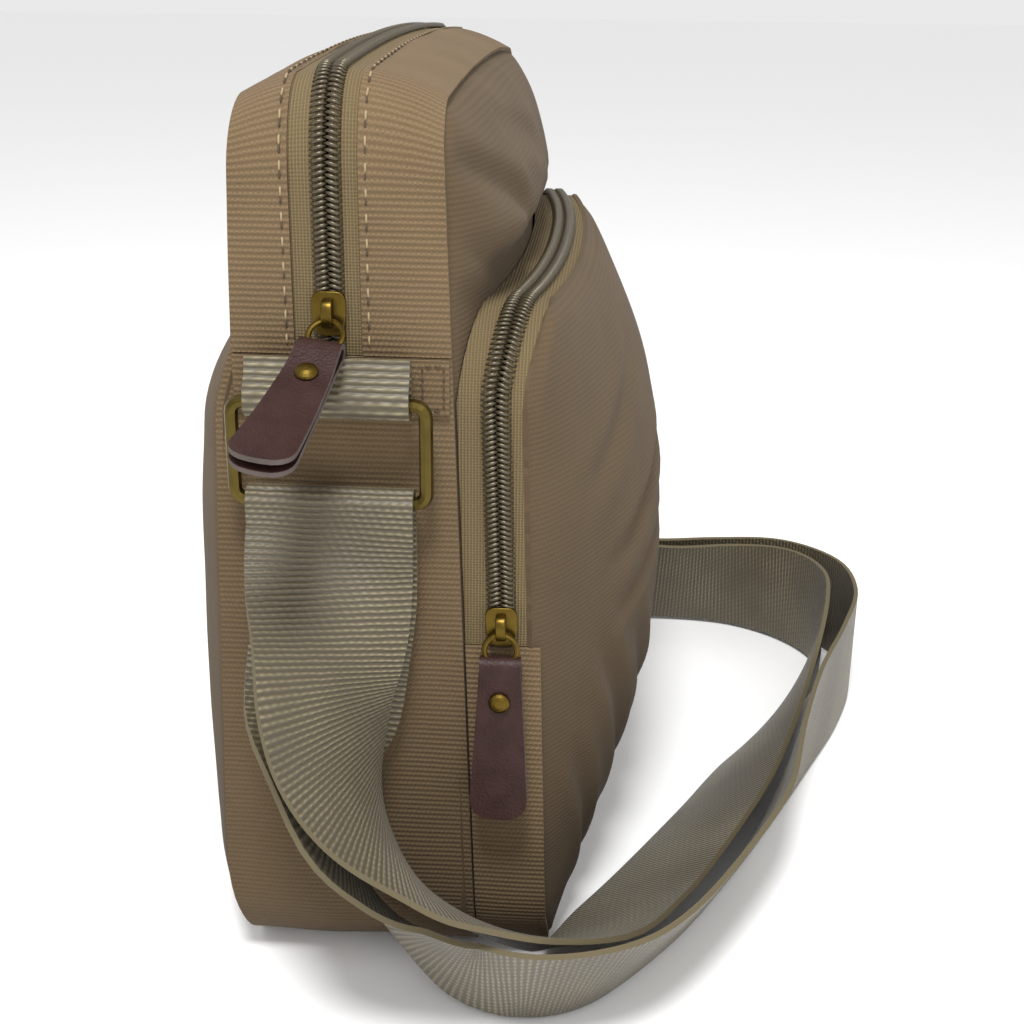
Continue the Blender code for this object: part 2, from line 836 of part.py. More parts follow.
def build_pull(prefix, slider_matrix, ring_roll, ring_tilt, leather_turn, curl, spread):
    """A slider with its ring, leather tab and rivet.

    ring_roll turns the ring about the slider's outward axis, away from hanging along the chain,
    and ring_tilt lifts it off the bag.  leather_turn is (roll, twist, tilt): the place round the
    ring where the tab hangs, its turn about its own length, and its lift off the bag.
    """
    build_slider(prefix + "_slider", slider_matrix)
    hinge = slider_matrix @ Matrix.Translation(ring_hinge_local())
    ring_matrix = hinge @ Matrix.Rotation(ring_roll, 4, "X") @ Matrix.Rotation(ring_tilt, 4, "Y")
    ring_pivot = add_empty(prefix + "_ring_pivot", ring_matrix)
    ring = curve_tube(
        prefix + "_pull_ring", ring_points(PULL_RING_RADIUS), PULL_RING_WIRE, "brass", cyclic=True
    )
    ring.parent = ring_pivot
    centre = Matrix.Translation((0, 0, -PULL_RING_RADIUS))
    roll, twist, tilt = (math.radians(angle) for angle in leather_turn)
    outward = Matrix.Rotation(roll, 4, "X") @ Matrix.Translation((0, 0, -PULL_RING_RADIUS))
    turned = Matrix.Rotation(twist, 4, "Z") @ Matrix.Rotation(tilt, 4, "Y")
    fold = ring_matrix @ centre @ outward @ turned
    rivet_matrix = build_leather(prefix + "_pull_leather", fold, ring_matrix, curl, spread)
    build_rivet(prefix + "_pull_rivet", rivet_matrix)


def build_pulls():
    near_main = Matrix.Translation((-HALF_WIDTH, ZIP_CENTRE, MAIN_SLIDER_HEIGHT))
    build_pull(
        "main", near_main, 0.0, math.radians(46), (10, 0, 16), math.radians(14), 0.0008
    )
    slope_angle = math.atan(SLOPE)
    pocket_x = -HALF_WIDTH + POCKET_INSET
    pocket_y = pocket_base_y(pocket_x, POCKET_SLIDER_HEIGHT) - POCKET_CHAIN_CENTRE
    near_pocket = Matrix.Translation((pocket_x, pocket_y, POCKET_SLIDER_HEIGHT))
    near_pocket = near_pocket @ Matrix.Rotation(-slope_angle, 4, "X")
    build_pull(
        "pocket", near_pocket, slope_angle, math.radians(7), (0, 0, -4), math.radians(2), 0.0002
    )
    step = 0.0005
    y = back_zip_y(BACK_SLIDER_X, BACK_ZIP_HEIGHT)
    slope = (back_zip_y(BACK_SLIDER_X + step, BACK_ZIP_HEIGHT) - y) / step
    back = Matrix.Translation((BACK_SLIDER_X, y, BACK_ZIP_HEIGHT))
    back = back @ Matrix.Rotation(math.atan(slope), 4, "Z")
    back = back @ Matrix.Rotation(math.atan(BACK_ZIP_LEAN), 4, "X")
    back = back @ Matrix.Rotation(-math.pi / 2, 4, "Z") @ Matrix.Rotation(-math.pi / 2, 4, "X")
    build_pull("back", back, 0.0, math.radians(40), (90, 40, 4), math.radians(2), 0.0002)


# ---------------------------------------------------------------- tabs and rectangular rings
def build_ends():
    for side, word in ((-1, "near"), (1, "far")):
        face = side * HALF_WIDTH
        patch = box_mesh(
            (0, -half_depth(GUSSET_TOP) + PATCH_EDGE, GUSSET_TOP - PATCH_LOW),
            (PATCH_THICK, half_depth(GUSSET_TOP) - PATCH_EDGE, GUSSET_TOP - PATCH_EDGE),
        )
        patch_object = add_mesh("tab_patch_" + word, patch, "canvas", smooth=False)
        patch_object.location.x = face + side * GAP + (-PATCH_THICK if side < 0 else 0.0)
        bar_x = face + side * (GAP + PATCH_THICK + RING_STAND_OFF - 0.0006)
        build_tab("tab_" + word, side, bar_x)
        build_ring("ring_" + word, side, bar_x)
        build_strap_turn("strap_turn_" + word, side, bar_x)


def strip_from_path(name, path, width_from, width_to, thickness, material):
    """A flat strip: the path lies in XZ, the width runs along Y, the thickness is centred."""
    bm = bmesh.new()
    rows = [
        (bm.verts.new((x, width_from, z)), bm.verts.new((x, width_to, z))) for x, z in path
    ]
    for row, after in zip(rows, rows[1:]):
        bm.faces.new((row[0], row[1], after[1], after[0]))
    return solidify(add_mesh(name, bm, material), thickness, offset=0.0)


def build_tab(name, side, bar_x):
    """Webbing folded round the ring's top bar, its two ends meeting above it."""
    radius = RING_WIRE / 2 + GAP + WEBBING_THICK / 2
    top = GUSSET_TOP + TAB_TOP_RISE
    inner_x = bar_x - side * radius
    path = [(inner_x, top), (inner_x, (top + RING_TOP_BAR) / 2)]
    for step in range(9):
        angle = math.pi * step / 8
        path.append((bar_x - side * radius * math.cos(angle), RING_TOP_BAR - radius * math.sin(angle)))
    path.append((inner_x + side * (WEBBING_THICK + 0.0007), top - 0.0030))
    path.append((inner_x + side * (WEBBING_THICK + GAP / 2), top + 0.0006))
    half = WEBBING_WIDTH / 2 - 0.0005
    strip_from_path(
        name, path, ZIP_CENTRE - half, ZIP_CENTRE + half, WEBBING_THICK, "webbing"
    )


def ring_outline(half_width, half_height, corner):
    points = []
    corners = ((1, 1, 0), (-1, 1, 90), (-1, -1, 180), (1, -1, 270))
    for sign_y, sign_z, start in corners:
        for step in range(5):
            angle = math.radians(start + 90 * step / 4)
            y = sign_y * (half_width - corner) + corner * math.cos(angle)
            z = sign_z * (half_height - corner) + corner * math.sin(angle)
            points.append((0.0, y, z))
    return points


def build_ring(name, side, bar_x):
    """A rectangular ring of round wire, hung from the tab by its top bar."""
    pivot = add_empty(name + "_pivot", Matrix.Translation((bar_x, ZIP_CENTRE, RING_TOP_BAR)))
    height = RING_TOP_BAR - RING_LOWER_BAR
    outline = ring_outline((RING_INNER_WIDTH + RING_WIRE) / 2, height / 2, RING_CORNER)
    points = [(x, y, z - height / 2) for x, y, z in outline]
    ring = curve_tube(name, points, RING_WIRE, "brass", cyclic=True)
    ring.parent = pivot


def build_strap_turn(name, side, bar_x):
    """The short turn of strap webbing round the ring's lower bar."""
    radius = RING_WIRE / 2 + GAP + WEBBING_THICK / 2
    end = RING_LOWER_BAR - 0.004
    path = [(bar_x - side * radius, end)]
    for step in range(9):
        angle = math.pi * step / 8
        path.append(
            (bar_x - side * radius * math.cos(angle), RING_LOWER_BAR + radius * math.sin(angle))
        )
    path.append((bar_x + side * radius, end))
    if side > 0:
        tucked = bar_x - radius + WEBBING_THICK + GAP
        path.append((tucked + WEBBING_THICK, end - SEWN_END / 2))
        path.append((tucked, end - SEWN_END))
    half = WEBBING_WIDTH / 2
    strip_from_path(name, path, ZIP_CENTRE - half, ZIP_CENTRE + half, WEBBING_THICK, "webbing")


# ---------------------------------------------------------------- shoulder strap
def catmull(points, per_span):
    """A smooth curve through points of any size."""
    padded = [points[0]] + points + [points[-1]]
    result = []
    for k in range(1, len(padded) - 2):
        before, start, stop, after = padded[k - 1:k + 3]
        for step in range(per_span):
            t = step / per_span
            value = 0.5 * (
                2 * start
                + (stop - before) * t
                + (2 * before - 5 * start + 4 * stop - after) * t * t
                + (3 * start - before - 3 * stop + after) * t ** 3
            )
            result.append(value)
    result.append(points[-1])
    return result


def ribbon(name, stations):
    """Strap webbing along stations of (centre, direction across the strap), in millimetres."""
    centres = catmull([Vector(centre) * MM for centre, _ in stations], 3)
    acrosses = catmull([Vector(across).normalized() for _, across in stations], 3)
    bm = bmesh.new()
    rows = []
    for k, centre in enumerate(centres):
        ahead = centres[min(k + 1, len(centres) - 1)]
        behind = centres[max(k - 1, 0)]
        tangent = (ahead - behind).normalized()
        across = acrosses[k] - tangent * acrosses[k].dot(tangent)
        across = across.normalized() * WEBBING_WIDTH / 2
        rows.append([bm.verts.new(centre + across * share) for share in (-1.0, 0.0, 1.0)])
    for row, after in zip(rows, rows[1:]):
        for k in range(2):
            bm.faces.new((row[k], row[k + 1], after[k + 1], after[k]))
    bm.normal_update()
    return solidify(add_mesh(name, bm, "webbing"), WEBBING_THICK, offset=0.0)


ACROSS_FRONT = (0, -1, 0)
ACROSS_BACK = (0, 1, 0)

# The doubled strap hangs from the near ring, sweeps forward along the floor on its edge, turns
# back behind the far end and climbs to the adjuster below the far ring.
RETURN_RUN = (
    ((-114.1, 2.0, 128.8), ACROSS_FRONT),
    ((-116.4, 2.0, 118.0), (0.20, -0.97, -0.10)),
    ((-122.3, 0.8, 105.0), (0.50, -0.83, -0.20)),
    ((-127.0, 1.0, 91.0), (0.70, -0.68, -0.22)),
    ((-129.0, -1.0, 78.0), (0.83, -0.50, -0.22)),
    ((-129.6, -6.0, 64.0), (0.88, -0.20, -0.25)),
    ((-129.0, -14.0, 51.0), (0.90, 0.10, -0.30)),
    ((-127.0, -24.0, 38.5), (0.84, 0.30, -0.40)),
    ((-121.5, -40.5, 26.0), (0.72, 0.50, -0.50)),
    ((-110.2, -58.8, 17.0), (0.60, 0.58, -0.58)),
    ((-86.5, -71.0, 12.5), (0.60, 0.62, -0.50)),
    ((-60.0, -84.8, 12.1), (0.50, 0.66, -0.54)),
    ((-30.0, -99.5, 13.1), (0.42, 0.62, -0.60)),
    ((-0.5, -112.2, 15.6), (0.32, 0.55, -0.74)),
    ((29.0, -126.0, 18.6), (0.14, 0.34, -0.92)),
    ((59.0, -137.5, 20.5), (0.02, 0.10, -1.0)),
    ((84.0, -141.0, 20.7), (0.0, 0.0, -1.0)),
    ((103.0, -131.0, 20.6), (0.04, 0.0, -1.0)),
    ((113.0, -110.0, 19.9), (0.25, 0.0, -0.97)),
    ((114.0, -84.0, 19.5), (0.36, 0.0, -0.93)),
    ((113.0, -58.0, 21.6), (0.22, 0.20, -0.95)),
    ((112.0, -32.0, 30.0), (0.05, 0.60, -0.80)),
    ((110.5, -10.0, 47.0), (0.0, 0.93, -0.36)),
    ((108.6, 2.0, 64.0), ACROSS_BACK),
    ((107.6, 2.0, 74.0), ACROSS_BACK),
    ((109.2, 2.0, 83.0), ACROSS_BACK),
    ((109.9, 2.0, 86.6), ACROSS_BACK),
    ((112.0, 2.0, 87.6), ACROSS_BACK),
    ((114.1, 2.0, 86.6), ACROSS_BACK),
    ((114.6, 2.0, 84.8), ACROSS_BACK),
)
LONG_RUN = (
    ((-108.7, 2.0, 129.4), ACROSS_FRONT),
    ((-109.0, 2.0, 110.0), (0.02, -1.0, 0.0)),
    ((-114.0, 4.5, 86.0), (0.30, -0.94, -0.10)),
    ((-125.0, 4.0, 64.0), (0.84, -0.24, -0.48)),
    ((-125.2, -3.0, 46.0), (0.80, -0.06, -0.60)),
    ((-125.0, -14.0, 30.5), (0.66, 0.02, -0.75)),
    ((-128.5, -29.5, 20.0), (0.50, 0.02, -0.86)),
    ((-130.5, -46.5, 18.0), (0.50, 0.12, -0.85)),
    ((-125.0, -63.5, 17.8), (0.44, 0.31, -0.84)),
    ((-112.5, -76.5, 17.8), (0.36, 0.40, -0.84)),
    ((-88.0, -92.5, 18.2), (0.25, 0.40, -0.88)),
    ((-59.0, -107.0, 18.6), (0.20, 0.36, -0.90)),
    ((-26.0, -118.5, 19.6), (0.10, 0.18, -0.98)),
    ((6.0, -130.0, 20.3), (0.03, 0.05, -1.0)),
    ((38.0, -142.5, 20.4), (0.0, 0.0, -1.0)),
    ((68.0, -150.5, 20.4), (0.0, 0.0, -1.0)),
    ((95.0, -147.5, 20.4), (0.0, 0.0, -1.0)),
    ((114.0, -130.0, 20.2), (0.06, 0.0, -1.0)),
    ((121.5, -104.0, 19.6), (0.28, 0.0, -0.96)),
    ((121.5, -76.0, 19.4), (0.36, 0.0, -0.93)),
    ((119.5, -50.0, 22.3), (0.20, 0.26, -0.94)),
    ((117.5, -26.0, 33.0), (0.05, 0.65, -0.76)),
    ((115.0, -7.0, 49.0), (0.0, 0.95, -0.30)),
    ((111.6, 2.0, 63.5), ACROSS_BACK),
    ((109.4, 2.0, 73.0), ACROSS_BACK),
    ((114.0, 2.0, 79.6), ACROSS_BACK),
    ((116.8, 2.0, 86.0), ACROSS_BACK),
    ((113.8, 2.0, 91.6), ACROSS_BACK),
    ((109.4, 2.0, 97.0), ACROSS_BACK),
    ((108.7, 2.0, 106.0), ACROSS_BACK),
    ((108.7, 2.0, 118.0), ACROSS_BACK),
    ((108.7, 2.0, 129.4), ACROSS_BACK),
)


def build_adjuster():
    """A wire slide with a centre bar: the strap's sewn end holds it and the long run threads it."""
    half_height = ADJUSTER_HEIGHT / 2
    outline = ring_outline((RING_INNER_WIDTH + ADJUSTER_WIRE) / 2, half_height, RING_CORNER)
    place = Vector((ADJUSTER_X, ZIP_CENTRE, ADJUSTER_Z))
    points = [Vector(point) + place for point in outline]
    frame = curve_tube("adjuster_outline", points, ADJUSTER_WIRE, "brass", cyclic=True)
    bpy.context.view_layer.update()
    shape = frame.evaluated_get(bpy.context.evaluated_depsgraph_get())
    mesh = bpy.data.meshes.new_from_object(shape)
    bpy.data.objects.remove(frame, do_unlink=True)
    adjuster = bpy.data.objects.new("adjuster", mesh)
    PARTS.objects.link(adjuster)
    bar = bmesh.new()
    bmesh.ops.create_cone(
        bar, cap_ends=True, segments=12, radius1=ADJUSTER_WIRE / 2, radius2=ADJUSTER_WIRE / 2,
        depth=RING_INNER_WIDTH + ADJUSTER_WIRE,
        matrix=Matrix.Translation(place) @ Matrix.Rotation(math.pi / 2, 4, "X"),
    )
    boolean(adjuster, hide_cutter(add_mesh("adjuster_bar", bar, "brass", CUTTERS)), "UNION")


def build_strap():
    ribbon("strap_return_run", RETURN_RUN)
    ribbon("strap_long_run", LONG_RUN)
    build_adjuster()


# ---------------------------------------------------------------- assembly
clear_scene()
PARTS = new_collection("messenger_bag")
CUTTERS = new_collection("cutters")
MATERIALS = {name: make_material(name) for name in COLOURS}

build_body()
build_pocket()
build_pulls()
build_ends()
build_strap()
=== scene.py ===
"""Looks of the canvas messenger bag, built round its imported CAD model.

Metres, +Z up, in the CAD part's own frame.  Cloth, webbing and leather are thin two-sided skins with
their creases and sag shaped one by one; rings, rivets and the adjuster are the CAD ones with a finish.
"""
import json
import math

import bmesh
import bpy
import numpy as np
from mathutils import Matrix, Vector, noise

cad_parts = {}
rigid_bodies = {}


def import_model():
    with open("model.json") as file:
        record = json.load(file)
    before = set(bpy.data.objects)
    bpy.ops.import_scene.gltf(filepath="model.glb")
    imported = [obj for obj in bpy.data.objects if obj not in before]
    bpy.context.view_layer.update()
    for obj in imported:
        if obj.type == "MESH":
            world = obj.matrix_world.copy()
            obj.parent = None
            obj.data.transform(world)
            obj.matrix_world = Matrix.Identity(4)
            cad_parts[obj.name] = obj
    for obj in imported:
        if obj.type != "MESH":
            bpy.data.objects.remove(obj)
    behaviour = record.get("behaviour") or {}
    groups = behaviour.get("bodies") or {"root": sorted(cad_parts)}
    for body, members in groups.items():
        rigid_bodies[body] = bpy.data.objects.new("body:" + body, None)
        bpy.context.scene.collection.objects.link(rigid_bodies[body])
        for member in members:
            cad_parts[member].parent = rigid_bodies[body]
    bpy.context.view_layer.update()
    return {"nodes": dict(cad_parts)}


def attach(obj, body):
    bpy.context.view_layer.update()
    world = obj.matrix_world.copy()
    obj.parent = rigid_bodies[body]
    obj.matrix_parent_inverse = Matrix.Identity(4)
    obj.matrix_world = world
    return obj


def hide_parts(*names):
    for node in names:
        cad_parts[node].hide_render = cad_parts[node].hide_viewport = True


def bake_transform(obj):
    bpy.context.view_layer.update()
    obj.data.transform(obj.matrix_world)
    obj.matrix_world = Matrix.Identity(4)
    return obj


# ---- camera
YAW = math.radians(3.9)
PITCH = math.radians(20.9)
ROLL = math.radians(0.66)
LENS = 51.3
SENSOR_WIDTH = 36
NEAREST_SEEN = 0.01
CAMERA_PLACE = (-0.4175, -0.060, 0.250)


def make_camera():
    ahead = Vector(
        (math.cos(YAW) * math.cos(PITCH), math.sin(YAW) * math.cos(PITCH), -math.sin(PITCH))
    )
    right = ahead.cross(Vector((0, 0, 1))).normalized()
    up = right.cross(ahead)
    right_rolled = math.cos(ROLL) * right + math.sin(ROLL) * up
    up_rolled = math.cos(ROLL) * up - math.sin(ROLL) * right
    data = bpy.data.cameras.new("camera")
    data.lens = LENS
    data.sensor_width = SENSOR_WIDTH
    data.clip_start = NEAREST_SEEN
    camera = bpy.data.objects.new("camera", data)
    bpy.context.scene.collection.objects.link(camera)
    matrix = Matrix((right_rolled, up_rolled, -ahead)).transposed().to_4x4()
    matrix.translation = Vector(CAMERA_PLACE)
    camera.matrix_world = matrix
    bpy.context.scene.camera = camera


for old in list(bpy.data.objects):
    bpy.data.objects.remove(old, do_unlink=True)
make_camera()
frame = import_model()

# ---- dimensions shared with the CAD
MM = 0.001
HALF = 0.105
HEIGHT = 0.2215
BASE_DEPTH = 0.061
TOP_DEPTH = 0.046
SLOPE = (BASE_DEPTH - TOP_DEPTH) / 2 / HEIGHT
CROWN = 0.0025
CROWN_START = 0.19
DOME = 0.006
DOME_START = 0.200
TOP_CORNER = 0.016
BASE_CORNER = 0.024
RIM = 0.003
PANEL_SET_IN = 0.001
FRONT_PUFF = 0.014
BACK_PUFF = 0.016
BACK_PUFF_Z = 0.100
ZIP_Y = 0.002
TAB_TOP = 0.166
POCKET_TOP = 0.1754
POCKET_IN = 0.0017
POCKET_CORNER = 0.024
POCKET_DEPTH = 0.018
POCKET_WALL = 0.017
POCKET_PUFF = 0.017
POCKET_END = 0.095
CHAIN_Y = 0.009
BACK_ZIP_Z = 0.182
BACK_ZIP_LEAN = 0.10
WEB = 0.038
WEB_THICK = 0.0014
RING_BAR_X = 0.1114
RING_TOP_BAR = 0.157
RING_LOW_BAR = 0.134
RING_WIRE = 0.0016
WEB_GAP = 0.0004

# ---- how the looks differ from the CAD
LOOK_RISE = 0.0010
FRONT_SWELL = 0.0075
FRONT_SWELL_Z = 0.180
FRONT_SWELL_REACH = 0.0405
BACK_SWELL = 0.0095
NEAR_SEAM_SWELL = 0.0040
CLOTH_THICK = 0.0014
TAPE_THICK = 0.0007
LINING_THICK = 0.0005
TAPE_GAP = 0.0007


def half_depth(z):
    return BASE_DEPTH / 2 - SLOPE * z


def smooth(t):
    t = min(1.0, max(0.0, t))
    return t * t * (3 - 2 * t)


def bulge(distance, reach, power, ease):
    return max(0.0, 1.0 - min(1.0, abs(distance) / reach) ** power) ** ease


def front_puff(x, z):
    return FRONT_PUFF * bulge(x, HALF - RIM, 2.2, 0.8) * bulge(
        z - HEIGHT / 2, HEIGHT / 2 - RIM, 2.6, 0.8
    )


def back_puff(x, z):
    reach = HEIGHT - BACK_PUFF_Z if z > BACK_PUFF_Z else BACK_PUFF_Z
    across = bulge(x, HALF - RIM, 2.0, 1.0)
    return BACK_PUFF * across * bulge(z - BACK_PUFF_Z, reach - RIM, 2.0, 1.5)


def front_y(x, z):
    return -half_depth(z) + PANEL_SET_IN - front_puff(x, z)


def back_y(x, z):
    return half_depth(z) - PANEL_SET_IN + back_puff(x, z)


def front_look_y(x, z):
    """The front as it looks: above the pocket the full bag pushes it out further."""
    above = smooth((z - 0.177) / 0.014) * bulge(z - FRONT_SWELL_Z, FRONT_SWELL_REACH, 4.0, 0.7)
    return front_y(x, z) - LOOK_RISE - FRONT_SWELL * above * bulge(x, HALF - RIM, 5.0, 0.8)


def rear_edge(x, z):
    """Where the back seam runs: fuller than the CAD at the near end, below the back zip."""
    near = 1 - smooth((x + HALF) / 0.10)
    below = smooth((0.171 - z) / 0.02) * smooth((z - RIM) / 0.03)
    return half_depth(z) + NEAR_SEAM_SWELL * near * below


def back_look_y(x, z):
    """The back as it looks: below its zip it is puffed further than the CAD panel."""
    below = smooth((0.173 - z) / 0.03) * smooth(z / 0.03)
    seam = rear_edge(x, z) - half_depth(z)
    return back_y(x, z) + LOOK_RISE + seam + (BACK_SWELL - seam) * below * bulge(x, HALF, 7.0, 1.0)


def pocket_base_y(x, z):
    return -half_depth(z) - 0.0004 - front_puff(x, z)


def pocket_front_y(x, z):
    puff = bulge(x, HALF - 2 * RIM, 2.0, 0.9) * bulge(
        z - POCKET_TOP / 2, POCKET_TOP / 2 - RIM, 2.2, 0.8
    )
    return pocket_base_y(x, z) - POCKET_WALL - POCKET_PUFF * puff


def top_dome(y, z):
    if z < DOME_START:
        return 0.0
    share = max(0.0, 1 - (y / half_depth(HEIGHT)) ** 2)
    return DOME * share * smooth((z - DOME_START) / (HEIGHT - DOME_START))


def crown(x):
    return CROWN * max(0.0, 1 - (x / (HALF - TOP_CORNER)) ** 2)


# ---- shader helpers
class Nodes:
    """Small helper to wire maths nodes of one material."""

    def __init__(self, name, colour, roughness, metallic=0.0):
        self.material = bpy.data.materials.new(name)
        self.material.use_nodes = True
        self.tree = self.material.node_tree
        self.shader = self.tree.nodes["Principled BSDF"]
        self.shader.inputs["Base Color"].default_value = (*colour, 1)
        self.shader.inputs["Roughness"].default_value = roughness
        self.shader.inputs["Metallic"].default_value = metallic

    def link(self, source, target):
        self.tree.links.new(source, target)

    def math(self, operation, a, b=0.0, c=None):
        node = self.tree.nodes.new("ShaderNodeMath")
        node.operation = operation
        for k, value in enumerate((a, b) if c is None else (a, b, c)):
            if isinstance(value, (int, float)):
                node.inputs[k].default_value = value
            else:
                self.link(value, node.inputs[k])
        return node.outputs[0]

    def times(self, a, b):
        return self.math("MULTIPLY", a, b)

    def fit(self, value, factor, offset):
        return self.math("MULTIPLY_ADD", value, factor, offset)

    def cloth_axes(self):
        node = self.tree.nodes.new("ShaderNodeUVMap")
        node.uv_map = "cloth"
        split = self.tree.nodes.new("ShaderNodeSeparateXYZ")
        self.link(node.outputs[0], split.inputs[0])
        return node.outputs[0], split.outputs[0], split.outputs[1]

    def noise(self, vector, scale, detail=3.0):
        node = self.tree.nodes.new("ShaderNodeTexNoise")
        node.inputs["Scale"].default_value = scale
        node.inputs["Detail"].default_value = detail
        self.link(vector, node.inputs["Vector"])
        return node.outputs["Fac"]

    def object_point(self):
        return self.tree.nodes.new("ShaderNodeTexCoord").outputs["Object"]

    def wave(self, value, pitch, shift=0.0):
        """A row of round ridges, 0 in the grooves and 1 on the crests."""
        turn = self.fit(value, 2 * math.pi / pitch, shift)
        return self.fit(self.math("COSINE", turn), 0.5, 0.5)

    def mix(self, factor, first, second):
        node = self.tree.nodes.new("ShaderNodeMix")
        node.data_type = "RGBA"
        self.link(factor, node.inputs["Factor"])
        for socket, value in ((node.inputs["A"], first), (node.inputs["B"], second)):
            if isinstance(value, tuple):
                socket.default_value = (*value, 1)
            else:
                self.link(value, socket)
        return node.outputs["Result"]

    def colour(self, value):
        self.link(value, self.shader.inputs["Base Color"])

    def bump(self, height, distance):
        node = self.tree.nodes.new("ShaderNodeBump")
        node.inputs["Distance"].default_value = distance
        self.link(height, node.inputs["Height"])
        self.link(node.outputs[0], self.shader.inputs["Normal"])


def linear(r, g, b):
    def one(value):
        value /= 255
        return value / 12.92 if value <= 0.04045 else ((value + 0.055) / 1.055) ** 2.4

    return (one(r), one(g), one(b))


def ribbed_cloth(name, light, dark, pitch, bead, depth, sheen=0.04, worn=0.22, shade_fade_height=0.150):
    """Rib-weave canvas: ridges along the first cloth axis, beaded where the weft crosses."""
    look = Nodes(name, light, 0.92)
    vector, along, up = look.cloth_axes()
    wobble = look.noise(vector, 260.0, 2.0)
    row = look.fit(wobble, 0.00018, up)
    ribs = look.wave(row, pitch)
    row_turn = look.times(look.math("FLOOR", look.math("DIVIDE", row, pitch)), math.pi)
    bead_turn = look.fit(along, 2 * math.pi / bead, row_turn)
    beads = look.fit(look.math("COSINE", bead_turn), 0.5, 0.5)
    fuzz = look.noise(vector, 2600.0, 3.0)
    height = look.times(ribs, look.fit(beads, 0.62, 0.38))
    height = look.fit(fuzz, 0.35, height)
    speckle = look.fit(fuzz, 0.5, -0.25)
    shade = look.fit(height, 0.75, speckle)
    fibre = look.mix(shade, dark, light)
    patches = look.times(look.noise(vector, 38.0, 5.0), worn * 2)
    faded = tuple(min(1.0, c * 1.28 + 0.004) for c in light)
    worn_fibre = look.mix(look.math("SUBTRACT", patches, worn * 0.55), fibre, faded)
    # Painted shade: the colour darkens towards the floor, strongest at the bottom and fading out by the
    # given height.
    place_split = look.tree.nodes.new("ShaderNodeSeparateXYZ")
    look.link(look.object_point(), place_split.inputs[0])
    low_shade = look.math("SMOOTH_MIN", look.math("DIVIDE", place_split.outputs[2], shade_fade_height), 1.0, 0.3)
    low_shade_colour = tuple(c * 0.52 for c in dark)
    look.colour(look.mix(look.fit(low_shade, 0.66, 0.34), low_shade_colour, worn_fibre))
    look.bump(height, depth)
    look.shader.inputs["Sheen Weight"].default_value = sheen
    look.shader.inputs["Sheen Roughness"].default_value = 0.6
    look.shader.inputs["Specular IOR Level"].default_value = 0.12
    return look.material


def tape_cloth(name, light, dark, pitch):
    look = Nodes(name, light, 0.85)
    vector, along, up = look.cloth_axes()
    ribs = look.wave(along, pitch)
    cross = look.wave(up, pitch * 0.9)
    height = look.fit(cross, 0.4, ribs)
    fuzz = look.noise(vector, 2400.0, 2.0)
    look.colour(look.mix(look.fit(fuzz, 0.5, look.times(height, 0.5)), dark, light))
    look.bump(height, 0.00018)
    look.shader.inputs["Specular IOR Level"].default_value = 0.3
    return look.material


def webbing_cloth(name, pitch, bead, highlight_amount):
    """Strap webbing: cross ribs whose painted highlight dashes step sideways from row to row."""
    look = Nodes(name, linear(105, 96, 80), 0.48)
    vector, along, up = look.cloth_axes()
    wobble = look.noise(vector, 300.0, 2.0)
    row_place = look.fit(wobble, 0.0004, up)
    row = look.math("FLOOR", look.math("DIVIDE", row_place, pitch))
    ribs = look.wave(row_place, pitch, math.pi)
    bead_turn = look.fit(along, 2 * math.pi / bead, look.times(row, 1.9))
    beads = look.fit(look.math("COSINE", bead_turn), 0.5, 0.5)
    fuzz = look.noise(vector, 2200.0, 3.0)
    height = look.times(ribs, look.fit(beads, 0.4, 0.6))
    fibre = look.fit(fuzz, 0.5, look.times(height, 0.5))
    body = look.mix(fibre, linear(54, 47, 33), linear(98, 88, 65))
    # Painted highlight: pale dashes on the rib crests, in broad noise patches, mixed into the colour.
    painted_highlight = look.times(look.math("POWER", ribs, 2.6), look.fit(beads, 0.5, 0.5))
    highlight_patches = look.fit(look.noise(vector, 26.0, 3.0), 4.2, -1.55)
    painted_highlight = look.times(painted_highlight, look.times(highlight_patches, highlight_amount))
    look.colour(look.mix(look.math("MAXIMUM", painted_highlight, 0.0), body, linear(186, 175, 140)))
    look.bump(height, 0.00032)
    look.shader.inputs["Sheen Weight"].default_value = 0.1
    return look.material


def leather(name, colour, grain, roughness):
    look = Nodes(name, colour, roughness)
    look.shader.inputs["Specular IOR Level"].default_value = 0.22
    point = look.object_point()
    pores = look.tree.nodes.new("ShaderNodeTexVoronoi")
    pores.inputs["Scale"].default_value = 1500.0
    look.link(point, pores.inputs["Vector"])
    cloud = look.noise(point, 180.0, 5.0)
    darker = tuple(c * 0.55 for c in colour)
    paler = tuple(min(1.0, c * 1.5 + 0.01) for c in colour)
    look.colour(look.mix(cloud, darker, paler))
    look.bump(look.fit(cloud, 0.6, pores.outputs["Distance"]), grain)
    return look.material


def metal(name, colour, roughness):
    look = Nodes(name, colour, roughness, 1.0)
    point = look.object_point()
    cloud = look.noise(point, 260.0, 4.0)
    darker = tuple(c * 0.55 for c in colour)
    look.colour(look.mix(look.fit(cloud, 1.5, -0.25), darker, colour))
    rough = look.fit(cloud, 0.25, roughness - 0.1)
    look.link(rough, look.shader.inputs["Roughness"])
    look.bump(look.noise(point, 900.0, 2.0), 0.00004)
    return look.material


def plain(name, colour, roughness, metallic=0.0):
    return Nodes(name, colour, roughness, metallic).material


def rib_canvas(name, shade_fade_height):
    return ribbed_cloth(
        name, linear(126, 106, 80), linear(88, 72, 52), 0.00135, 0.00115, 0.00024, shade_fade_height=shade_fade_height
    )
